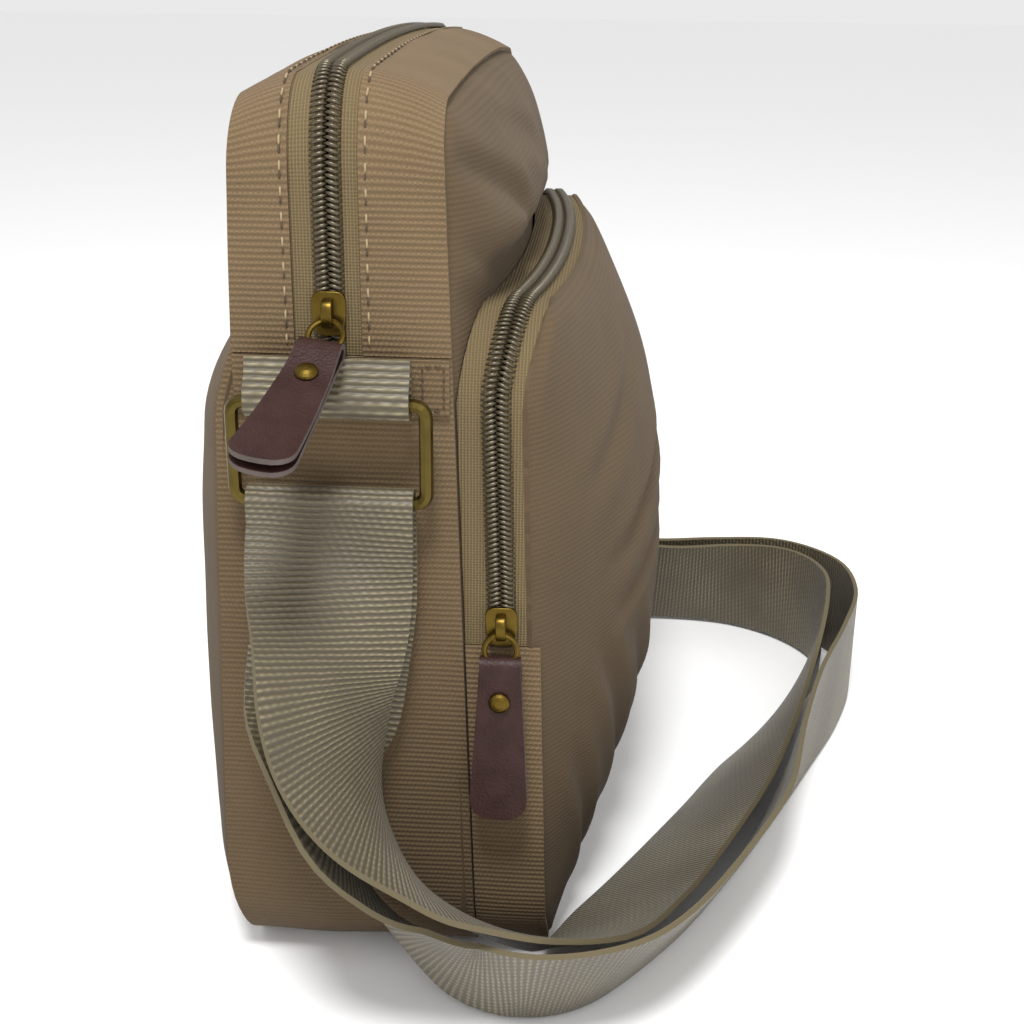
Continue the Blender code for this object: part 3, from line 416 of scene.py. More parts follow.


# Two copies of one canvas that differ only in how high the painted shade at the bottom reaches.
CANVAS = rib_canvas("canvas_look", 0.190)
POCKET_CANVAS = rib_canvas("pocket_canvas_look", 0.060)
PANEL = ribbed_cloth(
    "panel_look", linear(96, 80, 60), linear(80, 66, 49), 0.00125, 0.00110, 0.00007, 0.03, 0.26
)
LINING = ribbed_cloth(
    "lining_look", linear(66, 58, 48), linear(44, 38, 31), 0.0006, 0.0006, 0.00005, 0.05, 0.1
)
TAPE = tape_cloth("tape_look", linear(120, 104, 74), linear(84, 71, 48), 0.00075)
# The last number sets how strong the painted highlight on the webbing is.
WEBBING = webbing_cloth("webbing_look", 0.00135, 0.0021, 0.36)
TAB_WEBBING = webbing_cloth("tab_webbing_look", 0.00165, 0.0040, 0.68)
WEBBING_EDGE = plain("webbing_edge_look", linear(92, 82, 58), 0.8)
LEATHER = leather("leather_look", linear(44, 20, 16), 0.00009, 0.48)
LEATHER_EDGE = leather("leather_edge_look", linear(86, 76, 72), 0.00010, 0.8)
BRASS = metal("zip_brass_look", linear(108, 88, 38), 0.36)
RING_BRASS = metal("strap_brass_look", linear(100, 86, 44), 0.34)
COIL = plain("coil_look", linear(84, 76, 60), 0.32, 0.5)
THREAD_LIGHT = plain("thread_light", linear(150, 134, 102), 0.8)
THREAD_DARK = plain("thread_dark", linear(72, 59, 42), 0.8)


# ---- mesh helpers
SOFT_SCALE = 22.0
SHARP_EDGE = math.radians(50)
TUBE_SIDES = 6
TUBE_TIP = 0.45


def make_object(name, mesh, materials):
    for material in materials:
        mesh.materials.append(material)
    mesh.shade_smooth()
    obj = bpy.data.objects.new(name, mesh)
    bpy.context.scene.collection.objects.link(obj)
    return obj


def face_outward(mesh, sharp=math.pi):
    """Turn every face outward, and keep the edges that bend by more than sharp crisp."""
    bm = bmesh.new()
    bm.from_mesh(mesh)
    bmesh.ops.recalc_face_normals(bm, faces=bm.faces[:])
    for seam in bm.edges:
        if len(seam.link_faces) == 2 and seam.calc_face_angle(0) > sharp:
            seam.smooth = False
    bm.to_mesh(mesh)
    bm.free()


def grid_normals(surface):
    normals = np.cross(np.gradient(surface, axis=0), np.gradient(surface, axis=1))
    return normals / np.maximum(1e-12, np.linalg.norm(normals, axis=2, keepdims=True))


def soft_lump(q):
    place_in_noise = Vector(q) * SOFT_SCALE
    return noise.noise(place_in_noise) + 0.4 * noise.noise(place_in_noise * 3.1)


def skin(name, rows, cloth, thickness, material, outward=None, soft=0.0, edge=None):
    """A two-sided cloth skin.  rows are its points and cloth their flat places in metres.

    The points are its outer face, or its middle where it has an edge material of its own.
    """
    surface = np.array([[tuple(point) for point in row] for row in rows], float)
    normals = grid_normals(surface)
    if outward is not None:
        wanted = np.array([[outward(q) for q in row] for row in surface])
        if float((normals * wanted).sum()) < 0:
            normals = -normals
    if soft:
        lift = np.array([[soft_lump(q) for q in row] for row in surface])
        surface = surface + normals * (lift * soft)[..., None]
        surface[..., 2] = np.maximum(surface[..., 2], 0.0)
    outer = surface + normals * thickness / 2 if edge else surface
    inner = surface - normals * thickness / 2 if edge else surface - normals * thickness
    count_u, count_v = surface.shape[:2]
    points = np.concatenate([outer.reshape(-1, 3), inner.reshape(-1, 3)])
    base = count_u * count_v
    faces = []
    uvs = []
    for i in range(count_u - 1):
        for j in range(count_v - 1):
            corners = ((i, j), (i + 1, j), (i + 1, j + 1), (i, j + 1))
            places = [tuple(cloth[a][b]) for a, b in corners]
            ids = [a * count_v + b for a, b in corners]
            faces.append(ids)
            uvs.append(places)
            faces.append([k + base for k in reversed(ids)])
            uvs.append(places[::-1])
        for j in (0, count_v - 1):
            first = i * count_v + j
            second = first + count_v
            faces.append([first, second, second + base, first + base])
            uvs.append([tuple(cloth[i][j])] * 4)
    for i in (0, count_u - 1):
        for j in range(count_v - 1):
            first = i * count_v + j
            faces.append([first, first + 1, first + 1 + base, first + base])
            uvs.append([tuple(cloth[i][j])] * 4)
    mesh = bpy.data.meshes.new(name)
    mesh.from_pydata([tuple(q) for q in points], [], faces)
    if edge:
        for face in mesh.polygons:
            rims = [k % base for k in face.vertices]
            face.material_index = 1 if len(set(rims)) < len(rims) else 0
    layer = mesh.uv_layers.new(name="cloth")
    layer.data.foreach_set("uv", np.array([q for face in uvs for q in face]).reshape(-1))
    face_outward(mesh, SHARP_EDGE)
    return make_object(name, mesh, [material, edge] if edge else [material])


def tubes(name, paths, radius, material):
    """Many short round strokes in one mesh: stitches and zip wire."""
    points = []
    faces = []
    for path in paths:
        path = [Vector(q) for q in path]
        start = len(points)
        rings = len(path)
        for k, q in enumerate(path):
            ahead = path[min(k + 1, rings - 1)] - path[max(k - 1, 0)]
            ahead.normalize()
            helper = Vector((0, 0, 1)) if abs(ahead.z) < 0.8 else Vector((0, 1, 0))
            a = ahead.cross(helper).normalized()
            b = ahead.cross(a)
            reach = radius * (TUBE_TIP if k in (0, rings - 1) else 1.0)
            for side in range(TUBE_SIDES):
                turn = 2 * math.pi * side / TUBE_SIDES
                points.append(q + a * math.cos(turn) * reach + b * math.sin(turn) * reach)
        for k in range(rings - 1):
            low = start + k * TUBE_SIDES
            high = low + TUBE_SIDES
            for side in range(TUBE_SIDES):
                after = (side + 1) % TUBE_SIDES
                faces.append((low + side, low + after, high + after, high + side))
        faces.append([start + side for side in range(TUBE_SIDES)][::-1])
        faces.append([start + (rings - 1) * TUBE_SIDES + side for side in range(TUBE_SIDES)])
    mesh = bpy.data.meshes.new(name)
    mesh.from_pydata(points, [], faces)
    face_outward(mesh)
    return make_object(name, mesh, [material])


def resample(points, step):
    """Points along a polyline at an even step, with the direction there."""
    points = [Vector(q) for q in points]
    result = []
    left = step / 2
    for a, b in zip(points, points[1:]):
        length = (b - a).length
        while left <= length:
            result.append((a.lerp(b, left / length), (b - a).normalized()))
            left += step
        left -= length
    return result


def stitch_row(name, points, normal_at, pitch, length, radius, lift, material):
    strokes = []
    for q, ahead in resample(points, pitch):
        up = normal_at(q)
        half = ahead * length / 2
        low = up * (lift - radius * 0.5)
        strokes.append((q - half + low, q - half * 0.6 + up * (lift + radius * 0.6),
                        q + half * 0.6 + up * (lift + radius * 0.6), q + half + low))
    return tubes(name, strokes, radius, material)


# ---- rim paths
OVER_STEP = 0.0035
UNDER_STEP = 0.004
MIDDLE_Z = 0.11


def arc(cx, cz, radius, start, stop, steps):
    return [
        (cx + radius * math.cos(math.radians(start + (stop - start) * k / steps)),
         cz + radius * math.sin(math.radians(start + (stop - start) * k / steps)))
        for k in range(steps + 1)
    ]


def dense(points, step):
    result = [points[0]]
    for a, b in zip(points, points[1:]):
        count = max(1, round(math.dist(a, b) / step))
        for k in range(1, count + 1):
            t = k / count
            result.append((a[0] + (b[0] - a[0]) * t, a[1] + (b[1] - a[1]) * t))
    return result


def over_path(half, top, corner, low, lift=0.0):
    """From the near side at height low, over the top, down to the far side."""
    near = [(-half, low)] + arc(corner - half, top - corner, corner, 180, 90, 10)
    far = arc(half - corner, top - corner, corner, 90, 0, 10) + [(half, low)]
    flat = dense(near + far, OVER_STEP)
    if not lift:
        return flat
    return [(x, z + (lift * max(0.0, 1 - (x / (half - corner)) ** 2) if z > top - 1e-6 else 0.0))
            for x, z in flat]


def under_path(half, corner, high, inset=0.0):
    """From the near side at height high, under the base, up to the far side."""
    near = [(-half, high)] + arc(corner - half, corner + inset, corner, 180, 270, 10)
    far = arc(half - corner, corner + inset, corner, 270, 360, 10) + [(half, high)]
    return dense(near + far, UNDER_STEP)


def bag_over(low, inset=0.0):
    return over_path(HALF - inset, HEIGHT - inset, TOP_CORNER - inset, low, lift=CROWN)


def pocket_over(low, inset=0.0):
    return over_path(
        HALF - POCKET_IN - inset, POCKET_TOP - inset, POCKET_CORNER - inset, low
    )


def rim_strip(name, path, edge_a, edge_b, thickness, material, columns=8, dome=None, soft=0.0,
              flap=None):
    """A strip round the rim from edge_a to edge_b across the bag's depth."""
    rows = []
    cloth = []
    run = 0.0
    before = path[0]
    for x, z in path:
        run += math.dist(before, (x, z))
        before = (x, z)
        a = edge_a(x, z)
        b = edge_b(x, z)
        depths = [a + (b - a) * k / columns for k in range(columns + 1)]
        rows.append([(x, y, z + (dome(y, z) if dome else 0.0)) for y in depths])
        cloth.append([(y, run) for y in depths])
    strip = skin(name, rows, cloth, thickness, material,
                 outward=lambda q: (q[0], 0, q[2] - MIDDLE_Z), soft=soft)
    place(strip, flap)


MOUTH = ("bag", "mouth_flap", (0, -0.02, 0.169), (0, -0.02, 0.186))
POCKET = ("bag", "pocket_flap", (0, -0.08, 0.088), (0, -0.08, 0.102))
NEAR = ("bag", "near_ring", (-0.111, ZIP_Y, 0.100), (-0.111, ZIP_Y, 0.128))
FAR = ("bag", "far_ring", (0.111, ZIP_Y, 0.100), (0.111, ZIP_Y, 0.128))
LEAST_CORNER = 0.002
EDGE_ROLL = 0.0042
LUMP_FADE = 0.02
CREASE_FADE = 0.008


def place(obj, flap=None):
    """Ride the bag; with a flap, only bake the object's transform into its mesh."""
    if flap:
        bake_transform(obj)
    else:
        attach(obj, "bag")


def finish(obj, body, node):
    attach(obj, body)
    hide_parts(node)


def half_width_at(z, half, top, r_top, r_base):
    """Half the outline's width at a height, narrowed where a corner has begun."""
    for corner, past in ((r_top, z - (top - r_top)), (r_base, r_base - z)):
        if past > 0:
            return half - corner + math.sqrt(max(0.0, corner ** 2 - min(corner, past) ** 2))
    return half


def panel(name, depth_at, side, inset, thickness, material, low, high, half=HALF, top=HEIGHT,
          r_top=TOP_CORNER, r_base=BASE_CORNER, rows=90, columns=96, crowned=True, roll=0.0019,
          flap=None, lump=0.0, crease=None):
    """A sewn panel in the bag's outline between two heights, puffed by depth_at."""
    half -= inset
    top -= inset
    r_top = max(LEAST_CORNER, r_top - inset)
    r_base = max(LEAST_CORNER, r_base - inset)
    start = max(low, inset)
    stop = min(high, top)
    grid = []
    cloth = []
    for i in range(rows + 1):
        share = i / rows
        eased = 0.5 - 0.5 * math.cos(math.pi * share)
        z = start + (stop - start) * (0.45 * share + 0.55 * eased)
        reach = half_width_at(z, half, top, r_top, r_base)
        row = []
        flat = []
        for j in range(columns + 1):
            share = -1 + 2 * j / columns
            share = 0.55 * share + 0.45 * math.sin(share * math.pi / 2)
            x = share * reach
            edge = min(reach - abs(x), max(0.0, z - inset), max(0.0, top - z))
            y = depth_at(x, z)
            y -= side * roll * (1 - smooth(edge / EDGE_ROLL))
            if lump:
                inside = smooth(edge / LUMP_FADE)
                y += side * lump * inside * noise.noise(Vector((x * 17, 3.1, z * 17)))
                y += side * lump * 0.22 * inside * noise.noise(Vector((x * 55, 7.7, z * 55)))
            if crease:
                y += side * crease(x, z) * smooth(edge / CREASE_FADE)
            rise = crown(x) * smooth((z - CROWN_START) / (HEIGHT - CROWN_START)) if crowned else 0.0
            row.append((x, y, z + rise))
            flat.append((x, z))
        grid.append(row)
        cloth.append(flat)
    place(skin(name, grid, cloth, thickness, material, outward=lambda q: (0, side, 0)), flap)


# ---- creases
def ridge(x, z, a, b, width, depth):
    """Height of one crease along a to b: a groove with a soft ridge on each side."""
    ax, az = a
    bx, bz = b
    dx, dz = bx - ax, bz - az
    length = math.hypot(dx, dz)
    t = ((x - ax) * dx + (z - az) * dz) / length ** 2
    away = ((x - ax) * dz - (z - az) * dx) / length
    ends = smooth((t + 0.15) / 0.35) * smooth((1.15 - t) / 0.35)
    if ends <= 0 or abs(away) > width * 4:
        return 0.0
    s = away / width
    return depth * ends * (-math.exp(-s * s) + 0.55 * math.exp(-((abs(s) - 1.9) ** 2)))


POCKET_CREASES = (
    ((0.000, 0.122), (-0.070, 0.104), 0.0034, 0.0015),
    ((-0.010, 0.098), (-0.066, 0.089), 0.0030, 0.0012),
    ((-0.030, 0.150), (-0.080, 0.128), 0.0040, 0.0011),
    ((-0.078, 0.084), (-0.040, 0.022), 0.0040, 0.0015),
    ((-0.050, 0.078), (-0.010, 0.026), 0.0045, 0.0013),
    ((-0.020, 0.070), (0.020, 0.030), 0.0050, 0.0008),
    ((-0.090, 0.060), (-0.070, 0.012), 0.0030, 0.0012),
)
FRONT_CREASES = (
    ((-0.098, 0.208), (-0.045, 0.190), 0.0034, 0.0018),
    ((-0.060, 0.212), (0.010, 0.200), 0.0036, 0.0011),
    ((-0.098, 0.190), (-0.068, 0.180), 0.0030, 0.0013),
)


def creases(table):
    def at(x, z):
        return sum(ridge(x, z, *crease) for crease in table)

    return at


# ---- bag body
PANEL_IN = 0.0004
STRIP_LOW = TAB_TOP + 0.0003
REAR_CANVAS = ZIP_Y + 0.0083
FRONT_CANVAS = ZIP_Y - 0.0070
TAPE_LAP = 0.0001


def front_rim(x, z):
    return -half_depth(z)


def rear_rim(x, z):
    return half_depth(z)


def level(y):
    return lambda x, z: y


rim_strip(
    "gusset_cloth", under_path(HALF, BASE_CORNER, TAB_TOP), front_rim, rear_edge, CLOTH_THICK, CANVAS,
    columns=26, soft=0.0010,
)
for word, edges, flap in (
    ("rear", (level(REAR_CANVAS), rear_rim), None),
    ("front", (front_rim, level(FRONT_CANVAS)), MOUTH),
):
    rim_strip("strip_%s_cloth" % word, bag_over(STRIP_LOW), *edges, CLOTH_THICK, CANVAS,
              columns=12, dome=top_dome, soft=0.0006, flap=flap)
for word, edges, flap in (
    ("rear", (ZIP_Y + TAPE_GAP, REAR_CANVAS - TAPE_LAP), None),
    ("front", (FRONT_CANVAS + TAPE_LAP, ZIP_Y - TAPE_GAP), MOUTH),
):
    rim_strip("tape_%s_cloth" % word, bag_over(STRIP_LOW, 0.0006), *map(level, edges), TAPE_THICK,
              TAPE, columns=4, dome=top_dome, flap=flap)
panel(
    "front_cloth", front_look_y, -1, PANEL_IN, CLOTH_THICK, PANEL, 0.0, 1.0,
    lump=0.0012, crease=creases(FRONT_CREASES), flap=MOUTH,
)
BACK_ZIP_HALF = 0.0078
zip_low = BACK_ZIP_Z - BACK_ZIP_HALF
zip_high = BACK_ZIP_Z + BACK_ZIP_HALF
panel(
    "back_lower_cloth", back_look_y, 1, PANEL_IN, CLOTH_THICK, PANEL, 0.0, zip_low,
    lump=0.0014, rows=70,
)
panel(
    "back_upper_cloth", lambda x, z: back_y(x, z) + LOOK_RISE, 1, PANEL_IN, CLOTH_THICK, PANEL,
    zip_high, 1.0, lump=0.0006, rows=22,
)


def back_zip_y(x, z):
    return back_y(x, BACK_ZIP_Z) - BACK_ZIP_LEAN * (z - BACK_ZIP_Z)


for word, low, high in (
    ("lower", zip_low + 0.0002, BACK_ZIP_Z - TAPE_GAP),
    ("upper", BACK_ZIP_Z + TAPE_GAP, zip_high - 0.0002),
):
    panel(
        "back_tape_%s_cloth" % word, lambda x, z: back_zip_y(x, z) - 0.0010, 1, 0.0018, TAPE_THICK,
        TAPE, low, high, rows=4, columns=60, roll=0.0,
    )
LINING_IN = 0.0019
LINING_EDGE = 0.0032
POUCH_EDGE = 0.012
for name, depth_at, side, inset, top in (
    ("lining_front_cloth", lambda x, z: front_y(x, z) + 0.0019, -1, LINING_EDGE, 0.1735),
    ("lining_back_cloth", lambda x, z: back_y(x, z) - 0.0038, 1, LINING_EDGE, 0.206),
    ("back_pouch_cloth", lambda x, z: back_y(x, z) - 0.0023, 1, POUCH_EDGE, zip_low),
):
    panel(
        name, depth_at, side, inset, LINING_THICK, LINING, 0.0, top, rows=24, columns=28, roll=0.0
    )
rim_strip(
    "lining_rim_cloth", under_path(HALF - LINING_IN, BASE_CORNER - LINING_IN, 0.163, LINING_IN),
    lambda x, z: -half_depth(z) + 0.0045, lambda x, z: half_depth(z) - 0.0063, LINING_THICK, LINING,
    columns=6,
)


# ---- pocket
def out_by(distance):
    return lambda x, z: pocket_base_y(x, z) - distance


rim_strip(
    "pocket_rim_cloth", under_path(HALF - POCKET_IN, BASE_CORNER, POCKET_END - 0.0003),
    out_by(POCKET_DEPTH), out_by(0.0), 0.0012, POCKET_CANVAS, columns=10, soft=0.0005,
)
rim_strip(
    "pocket_tape_inner_cloth", pocket_over(POCKET_END, 0.0010), out_by(CHAIN_Y - TAPE_GAP),
    out_by(0.0), TAPE_THICK, TAPE, columns=4,
)
rim_strip(
    "pocket_tape_outer_cloth", pocket_over(POCKET_END, 0.0010), out_by(POCKET_DEPTH - 0.0020),
    out_by(CHAIN_Y + TAPE_GAP), TAPE_THICK, TAPE, columns=4, flap=POCKET,
)
panel(
    "pocket_front_cloth", lambda x, z: pocket_front_y(x, z) - LOOK_RISE, -1, PANEL_IN, 0.0013, PANEL,
    0.0, 1.0, half=HALF - POCKET_IN, top=POCKET_TOP, r_top=POCKET_CORNER, rows=110, columns=110,
    crowned=False, lump=0.0013, crease=creases(POCKET_CREASES), flap=POCKET,
)


# ---- zip coils
COIL_PITCH = 0.00125
COIL_WIRE = 0.00047


def coil(name, centre, side, directions_at, flap=None):
    """One half of a coil zip: slanted wire loops from the tape to just past the middle."""
    strokes = []
    shift = 0.0 if side > 0 else COIL_PITCH / 2
    for q, ahead in resample(centre, COIL_PITCH):
        out, across = directions_at(q, ahead)
        across = across * side
        base = q + ahead * shift
        slant = ahead * COIL_PITCH * 0.32
        strokes.append((
            base + across * 0.0034 + out * 0.0002 - slant,
            base + across * 0.0023 + out * 0.0011 - slant * 0.6,
            base + across * 0.0008 + out * 0.0010 + slant * 0.6,
            base - across * 0.0003 + out * 0.0004 + slant,
        ))
    place(tubes(name, strokes, COIL_WIRE, COIL), flap)


def corner_out(q, half, top, corner):
    """The outward direction round an outline: sideways, round the corner, or up."""
    if q.z > top - corner:
        if abs(q.x) < half - corner:
            return Vector((0, 0, 1))
        middle = Vector((math.copysign(half - corner, q.x), 0, top - corner))
        return (Vector((q.x, 0, q.z)) - middle).normalized()
    return Vector((math.copysign(1, q.x), 0, 0))


def rim_out(q):
    return corner_out(q, HALF, HEIGHT, TOP_CORNER)


def pocket_out(q):
    return corner_out(q, HALF - POCKET_IN, POCKET_TOP, POCKET_CORNER)


def round_rim(out_at):
    def directions(q, ahead):
        out = out_at(q)
        across = out.cross(ahead).normalized()
        return out, -across if across.y < -0.5 else across

    return directions


def back_zip_directions(q, ahead):
    out = Vector((0, 1, BACK_ZIP_LEAN)).normalized()
    return out, Vector((0, -BACK_ZIP_LEAN, 1)).normalized()


main_line = [
    Vector((x, ZIP_Y, z + top_dome(ZIP_Y, z))) for x, z in bag_over(0.1668, 0.0003)
]
pocket_line = [
    Vector((x, pocket_base_y(x, z) - CHAIN_Y, z)) for x, z in pocket_over(POCKET_END + 0.001, 0.0003)
]
back_line = [
    Vector((x * MM, back_zip_y(x * MM, BACK_ZIP_Z), BACK_ZIP_Z)) for x in range(-99, 100, 3)
]
coil("coil_rear_wire", main_line, 1, round_rim(rim_out))
coil("coil_front_wire", main_line, -1, round_rim(rim_out), MOUTH)
coil("pocket_coil_inner_wire", pocket_line, 1, round_rim(pocket_out))
coil("pocket_coil_outer_wire", pocket_line, -1, round_rim(pocket_out), POCKET)
coil("back_coil_upper_wire", back_line, 1, back_zip_directions)
coil("back_coil_lower_wire", back_line, -1, back_zip_directions)


# ---- stitches
STITCH_PITCH = 0.0054
THREAD = 0.00026


def stitched_rim(name, y, flap):
    """A two-tone stitch line beside the main zip: light strokes with dark ones between them."""
    line = [Vector((x, y, z + top_dome(y, z))) for x, z in bag_over(TAB_TOP + 0.001)]
    for word, points, length, material in (
        ("_light", line, 0.0023, THREAD_LIGHT), ("_dark", line[1:], 0.0019, THREAD_DARK),
    ):
        row = stitch_row(name + word, points, rim_out, STITCH_PITCH, length, THREAD, 0.0001, material)
        place(row, flap)


stitched_rim("stitch_rear", REAR_CANVAS + 0.0016, None)
stitched_rim("stitch_front", FRONT_CANVAS - 0.0016, MOUTH)
pocket_edge = [
    Vector((x, pocket_front_y(x, z) + 0.0001, z)) for x, z in pocket_over(POCKET_END, 0.0042)
]
pocket_stitches = stitch_row(
    "stitch_pocket", pocket_edge, lambda q: Vector((0, -1, 0)), 0.0030, 0.0020, 0.00022, 0.0006,
    THREAD_DARK,
)
place(pocket_stitches, POCKET)


# ---- tabs, rings and strap
def catmull(points, per_span):
    padded = [points[0]] + points + [points[-1]]
    result = []
    for k in range(1, len(padded) - 2):
        before, start, stop, after = padded[k - 1:k + 3]
        for step in range(per_span):
            t = step / per_span
            result.append(0.5 * (
                2 * start
                + (stop - before) * t
                + (2 * before - 5 * start + 4 * stop - after) * t * t
                + (3 * start - before - 3 * stop + after) * t ** 3
            ))
    result.append(points[-1])
    return result


def spread(half, columns):
    return [half * (-1 + 2 * k / columns) for k in range(columns + 1)]


def ribbon(name, centres, acrosses, ahead_of_start=None, past_end=None):
    """Flat webbing along centre points; the two neighbours outside it fix its end directions."""
    places = spread(WEB / 2, 14)
    rows = []
    cloth = []
    run = 0.0
    for k, centre in enumerate(centres):
        following = centres[k + 1] if k + 1 < len(centres) else past_end or centre
        previous = centres[k - 1] if k else ahead_of_start or centre
        ahead = (following - previous).normalized()
        if k:
            run += (centre - centres[k - 1]).length
        across = acrosses[k] - ahead * acrosses[k].dot(ahead)
        across.normalize()
        rows.append([centre + across * y for y in places])
        cloth.append([(y, run) for y in places])
    return skin(name, rows, cloth, WEB_THICK, WEBBING, edge=WEBBING_EDGE), run


FRONT = (0, -1, 0)
BACK = (0, 1, 0)
PER_SPAN = 6
# Each station of the strap's centre line: its place in mm, and the way across the webbing there.
RETURN_RUN = (
    ((-114.1, 2, 128.8), FRONT), ((-116.4, 2, 118), (0.2, -0.97, -0.1)),
    ((-122.3, 0.8, 105), (0.5, -0.83, -0.2)), ((-127, 1, 91), (0.7, -0.68, -0.22)),
    ((-129, -1, 78), (0.83, -0.5, -0.22)), ((-129.6, -6, 64), (0.88, -0.2, -0.25)),
    ((-129, -14, 51), (0.9, 0.1, -0.3)), ((-127, -24, 38.5), (0.84, 0.3, -0.4)),
    ((-121.5, -40.5, 26), (0.72, 0.5, -0.5)), ((-110.2, -58.8, 17), (0.6, 0.58, -0.58)),
    ((-86.5, -71, 12.5), (0.6, 0.62, -0.5)), ((-60, -84.8, 12.1), (0.5, 0.66, -0.54)),
    ((-30, -99.5, 13.1), (0.42, 0.62, -0.6)), ((-0.5, -112.2, 15.6), (0.32, 0.55, -0.74)),
    ((29, -126, 18.6), (0.14, 0.34, -0.92)), ((59, -137.5, 20.5), (0.02, 0.1, -1)),
    ((84, -141, 20.7), (0, 0, -1)), ((103, -131, 20.6), (0.04, 0, -1)),
    ((113, -110, 19.9), (0.25, 0, -0.97)), ((114, -84, 19.5), (0.36, 0, -0.93)),
    ((113, -58, 21.6), (0.22, 0.2, -0.95)), ((112, -32, 30), (0.05, 0.6, -0.8)),
    ((110.5, -10, 47), (0, 0.93, -0.36)), ((108.6, 2, 64), BACK), ((107.6, 2, 74), BACK),
    ((109.2, 2, 83), BACK), ((109.9, 2, 86.6), BACK), ((112, 2, 87.6), BACK), ((114.1, 2, 86.6), BACK),
    ((114.6, 2, 84.8), BACK),
)
LONG_RUN = (
    ((-108.7, 2, 129.4), FRONT), ((-109, 2, 110), (0.02, -1, 0)), ((-114, 4.5, 86), (0.3, -0.94, -0.1)),
    ((-125, 4, 64), (0.84, -0.24, -0.48)), ((-125.2, -3, 46), (0.8, -0.06, -0.6)),
    ((-125, -14, 30.5), (0.66, 0.02, -0.75)), ((-128.5, -29.5, 20), (0.5, 0.02, -0.86)),
    ((-130.5, -46.5, 18), (0.5, 0.12, -0.85)), ((-125, -63.5, 17.8), (0.44, 0.31, -0.84)),
    ((-112.5, -76.5, 17.8), (0.36, 0.4, -0.84)), ((-88, -92.5, 18.2), (0.25, 0.4, -0.88)),
    ((-59, -107, 18.6), (0.2, 0.36, -0.9)), ((-26, -118.5, 19.6), (0.1, 0.18, -0.98)),
    ((6, -130, 20.3), (0.03, 0.05, -1)), ((38, -142.5, 20.4), (0, 0, -1)),
    ((68, -150.5, 20.4), (0, 0, -1)), ((95, -147.5, 20.4), (0, 0, -1)),
    ((114, -130, 20.2), (0.06, 0, -1)), ((121.5, -104, 19.6), (0.28, 0, -0.96)),
    ((121.5, -76, 19.4), (0.36, 0, -0.93)), ((119.5, -50, 22.3), (0.2, 0.26, -0.94)),
    ((117.5, -26, 33), (0.05, 0.65, -0.76)), ((115, -7, 49), (0, 0.95, -0.3)), ((111.6, 2, 63.5), BACK),
    ((109.4, 2, 73), BACK), ((114, 2, 79.6), BACK), ((116.8, 2, 86), BACK), ((113.8, 2, 91.6), BACK),
    ((109.4, 2, 97), BACK), ((108.7, 2, 106), BACK), ((108.7, 2, 118), BACK), ((108.7, 2, 129.4), BACK),
)
# Where the free end hangs below the far ring, and the station where the strap is cut in two.
TAIL = ((0.1141, 0.1300), (0.1128, 0.1190), (0.1108, 0.1120), (0.1108, 0.1062))
SPLIT = 20
WEB_TURN_RADIUS = RING_WIRE + WEB_GAP + WEB_THICK / 2


def over_bar(side):
    """Points of the webbing's turn over a ring's lower bar, from the outer to the inner side."""
    turn = arc(RING_BAR_X, RING_LOW_BAR, WEB_TURN_RADIUS, 0, 180, 12)
    return [Vector((side * x, ZIP_Y, z)) for x, z in turn]


def run_points(stations):
    centres = catmull([Vector(c) * MM for c, _ in stations], PER_SPAN)
    acrosses = catmull([Vector(a).normalized() for _, a in stations], PER_SPAN)
    return centres, acrosses


def finish_strap(strap, length, hinge, ring, *stands_for):
    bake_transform(strap)
    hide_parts(*stands_for)


def build_strap():
    """One webbing, cut in two where it stops following the near ring and follows the far one."""
    back_centres, back_acrosses = run_points(RETURN_RUN)
    long_centres, long_acrosses = run_points(LONG_RUN)
    cut = SPLIT * PER_SPAN
    turn = over_bar(-1)
    near, near_length = ribbon(
        "strap_near_webbing", back_centres[::-1] + turn + long_centres[:cut + 1],
        back_acrosses[::-1] + [Vector(FRONT)] * len(turn) + long_acrosses[:cut + 1],
        past_end=long_centres[cut + 1],
    )
    turn = over_bar(1)[::-1]
    tail = catmull([Vector((x, ZIP_Y, z)) for x, z in TAIL], 4)
    far, far_length = ribbon(
        "strap_far_webbing", long_centres[cut:] + turn + tail,
        long_acrosses[cut:] + [Vector(BACK)] * (len(turn) + len(tail)),
        ahead_of_start=long_centres[cut - 1],
    )
    finish_strap(near, near_length, NEAR, "ring_near", "strap_return_run", "strap_turn_near")
    finish_strap(far, far_length, FAR, "ring_far", "strap_long_run", "strap_turn_far")


build_strap()

TAB_RISE = 0.0005
TAB_SIDE_GAP = 0.0006
PATCH_OUT = 0.0011
PATCH_THICK = 0.0010
PATCH_LOW = TAB_TOP - 0.0128
PATCH_HIGH = TAB_TOP - 0.0002
PATCH_STITCH_IN = 0.0012
PATCH_STITCH_INNER = 0.0185


